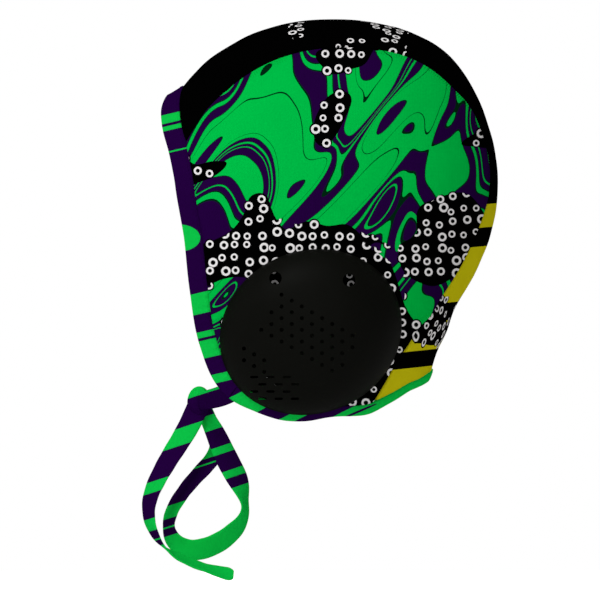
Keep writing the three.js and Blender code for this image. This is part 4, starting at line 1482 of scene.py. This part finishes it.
def hangingTape(rows, steps):
    rows = np.array(rows, float)
    places = np.stack([rows[:, 2], rows[:, 0], -rows[:, 1]], 1) * tape["hang"] + np.array(tape["knot"])
    shares = np.linspace(0, 1, steps + 1)
    points = np.stack([softened(column) for column in throughPoints(places, shares).T], 1)
    twist, wide = (
        softened(np.interp(shares * (len(rows) - 1), np.arange(len(rows)), rows[:, k])) for k in (3, 4)
    )
    along = unit(np.gradient(points, axis=0))
    across = turnedAbout(unit(np.cross([1.0, 0, 0], along)), along, twist)
    return points, across, wide


def roundedTip(points):  # share of the width near the cut end, whose corners are round
    toEnd = np.linalg.norm(np.diff(points, axis=0), axis=1)[::-1].cumsum()[::-1]
    short = np.clip(tape["tipRound"] - np.append(toEnd, 0), 0, tape["tipRound"])
    return 1 - (tape["tipRound"] - np.sqrt(tape["tipRound"] ** 2 - short**2)) / (tape["width"] / 2)


def makeFreeEnd():
    points, across, wide = hangingTape(freeEndRows, tape["freeEndSteps"])
    sections = tapeSections(points, across, wide * roundedTip(points))
    piece = sweptObject(
        "strapFreeEnd", sections, [freeEndTape, backTape], slots=tapeSlots(0, 1), sharp=45
    )
    finishPiece(piece, "striped_tape", "strap_free_end")


def makeLoop():
    points, across, wide = hangingTape(loopRows, tape["loopSteps"])
    sections = tapeSections(points, across, wide)
    piece = sweptObject(
        "strapLoop", sections, [loopStartTape, backTape, loopReturnTape], slots=tapeSlots(0, 1), sharp=45
    )
    half = len(points) // 2
    for face in piece.data.polygons:
        if face.material_index == 0 and face.vertices[0] // (2 * tape["across"]) > half:
            face.material_index = 2
    finishPiece(piece, "striped_tape", "strap_loop")


def makeChinTape():
    before, here, after = (
        skinPoint(edgeTurn[station], edgeAround[station], binding["wall"] / 2)
        for station in cornerStation + tape["chinSpan"] * np.arange(-1, 2)
    )
    out = -edgeInward[cornerStation]
    knot = np.array(tape["knot"])
    start = here - out * tape["chinLap"]
    turn1 = here + out * tape["chinLead"]
    turn2 = knot + np.array([headForm["halfBreadth"] / 3, -tape["knotHalf"][1] / 3, tape["knotHalf"][2] / 8])
    t = np.linspace(0, 1, tape["chinSteps"] + 1)[:, None]
    points = (1 - t) ** 3 * start + 3 * t * (1 - t) ** 2 * turn1 + 3 * t * t * (1 - t) * turn2 + t**3 * knot
    lean = np.minimum(1, t * tape["chinTurn"])
    across = unit(after - before) * (1 - lean) + np.array(tape["chinAcross"]) * lean
    wide = tape["chinWidth"] + (tape["chinGather"] - tape["chinWidth"]) * t[:, 0] ** 2
    sections = tapeSections(points, across, wide, wave=tape["chinWave"])
    left = sweptObject("strapLeft", sections, [knotTape, backTape], slots=tapeSlots(0, 1), sharp=45)
    right = mirroredObject(left, "strapRight")
    finishPiece(left, "striped_tape", "strap_left")
    finishPiece(right, "striped_tape", "strap_right")


knotSetup = {
    "size": 0.9,
    "columns": 96,
    "rows": 64,
    "turns": [(0.15, 0.95, -0.35), (0.75, 0.2, 0.62), (0.8, -0.5, 0.2)],  # axis of each turn of tape
    "halfWidth": 0.56,  # of a turn of tape, as a share of the knot
    "edgeSquare": 6,
    "relief": 0.13,
    "overlap": 0.05,  # how far each turn stands over the one before
}


# turns of the tape wound over each other round a solid knot
def makeKnot():
    columns, rows = knotSetup["columns"], knotSetup["rows"]
    turn = 2 * math.pi * np.arange(columns) / columns
    points = []
    for lean in np.linspace(0.0, math.pi, rows):
        level = math.sin(lean) * np.stack([np.cos(turn), np.sin(turn)], 1)
        ray = np.column_stack([level, np.full(columns, math.cos(lean))])
        height = np.zeros(columns)
        for k, axis in enumerate(knotSetup["turns"]):
            off = np.abs(ray @ unit(np.array(axis))) / knotSetup["halfWidth"]
            band = np.clip(1 - off ** knotSetup["edgeSquare"], 0, 1) ** 0.5
            height = np.maximum(height, band * (knotSetup["relief"] + k * knotSetup["overlap"]))
        radius = knotSetup["size"] * (1 - knotSetup["relief"] + height)
        points.append(ray * radius[:, None] * np.array(tape["knotHalf"]) + np.array(tape["knot"]))
    faces = []
    for start in range(0, (rows - 1) * columns, columns):
        for k in range(columns):
            a, b = start + k, start + (k + 1) % columns
            faces.append((a, b, b + columns, a + columns))
    piece = meshObject("strapKnot", np.concatenate(points), faces, [knotTape], merge=1e-6)
    finishPiece(piece, "striped_tape", "strap_knot")


makeFreeEnd()
makeLoop()
makeChinTape()
makeKnot()
print("stage: chin tape and knot")
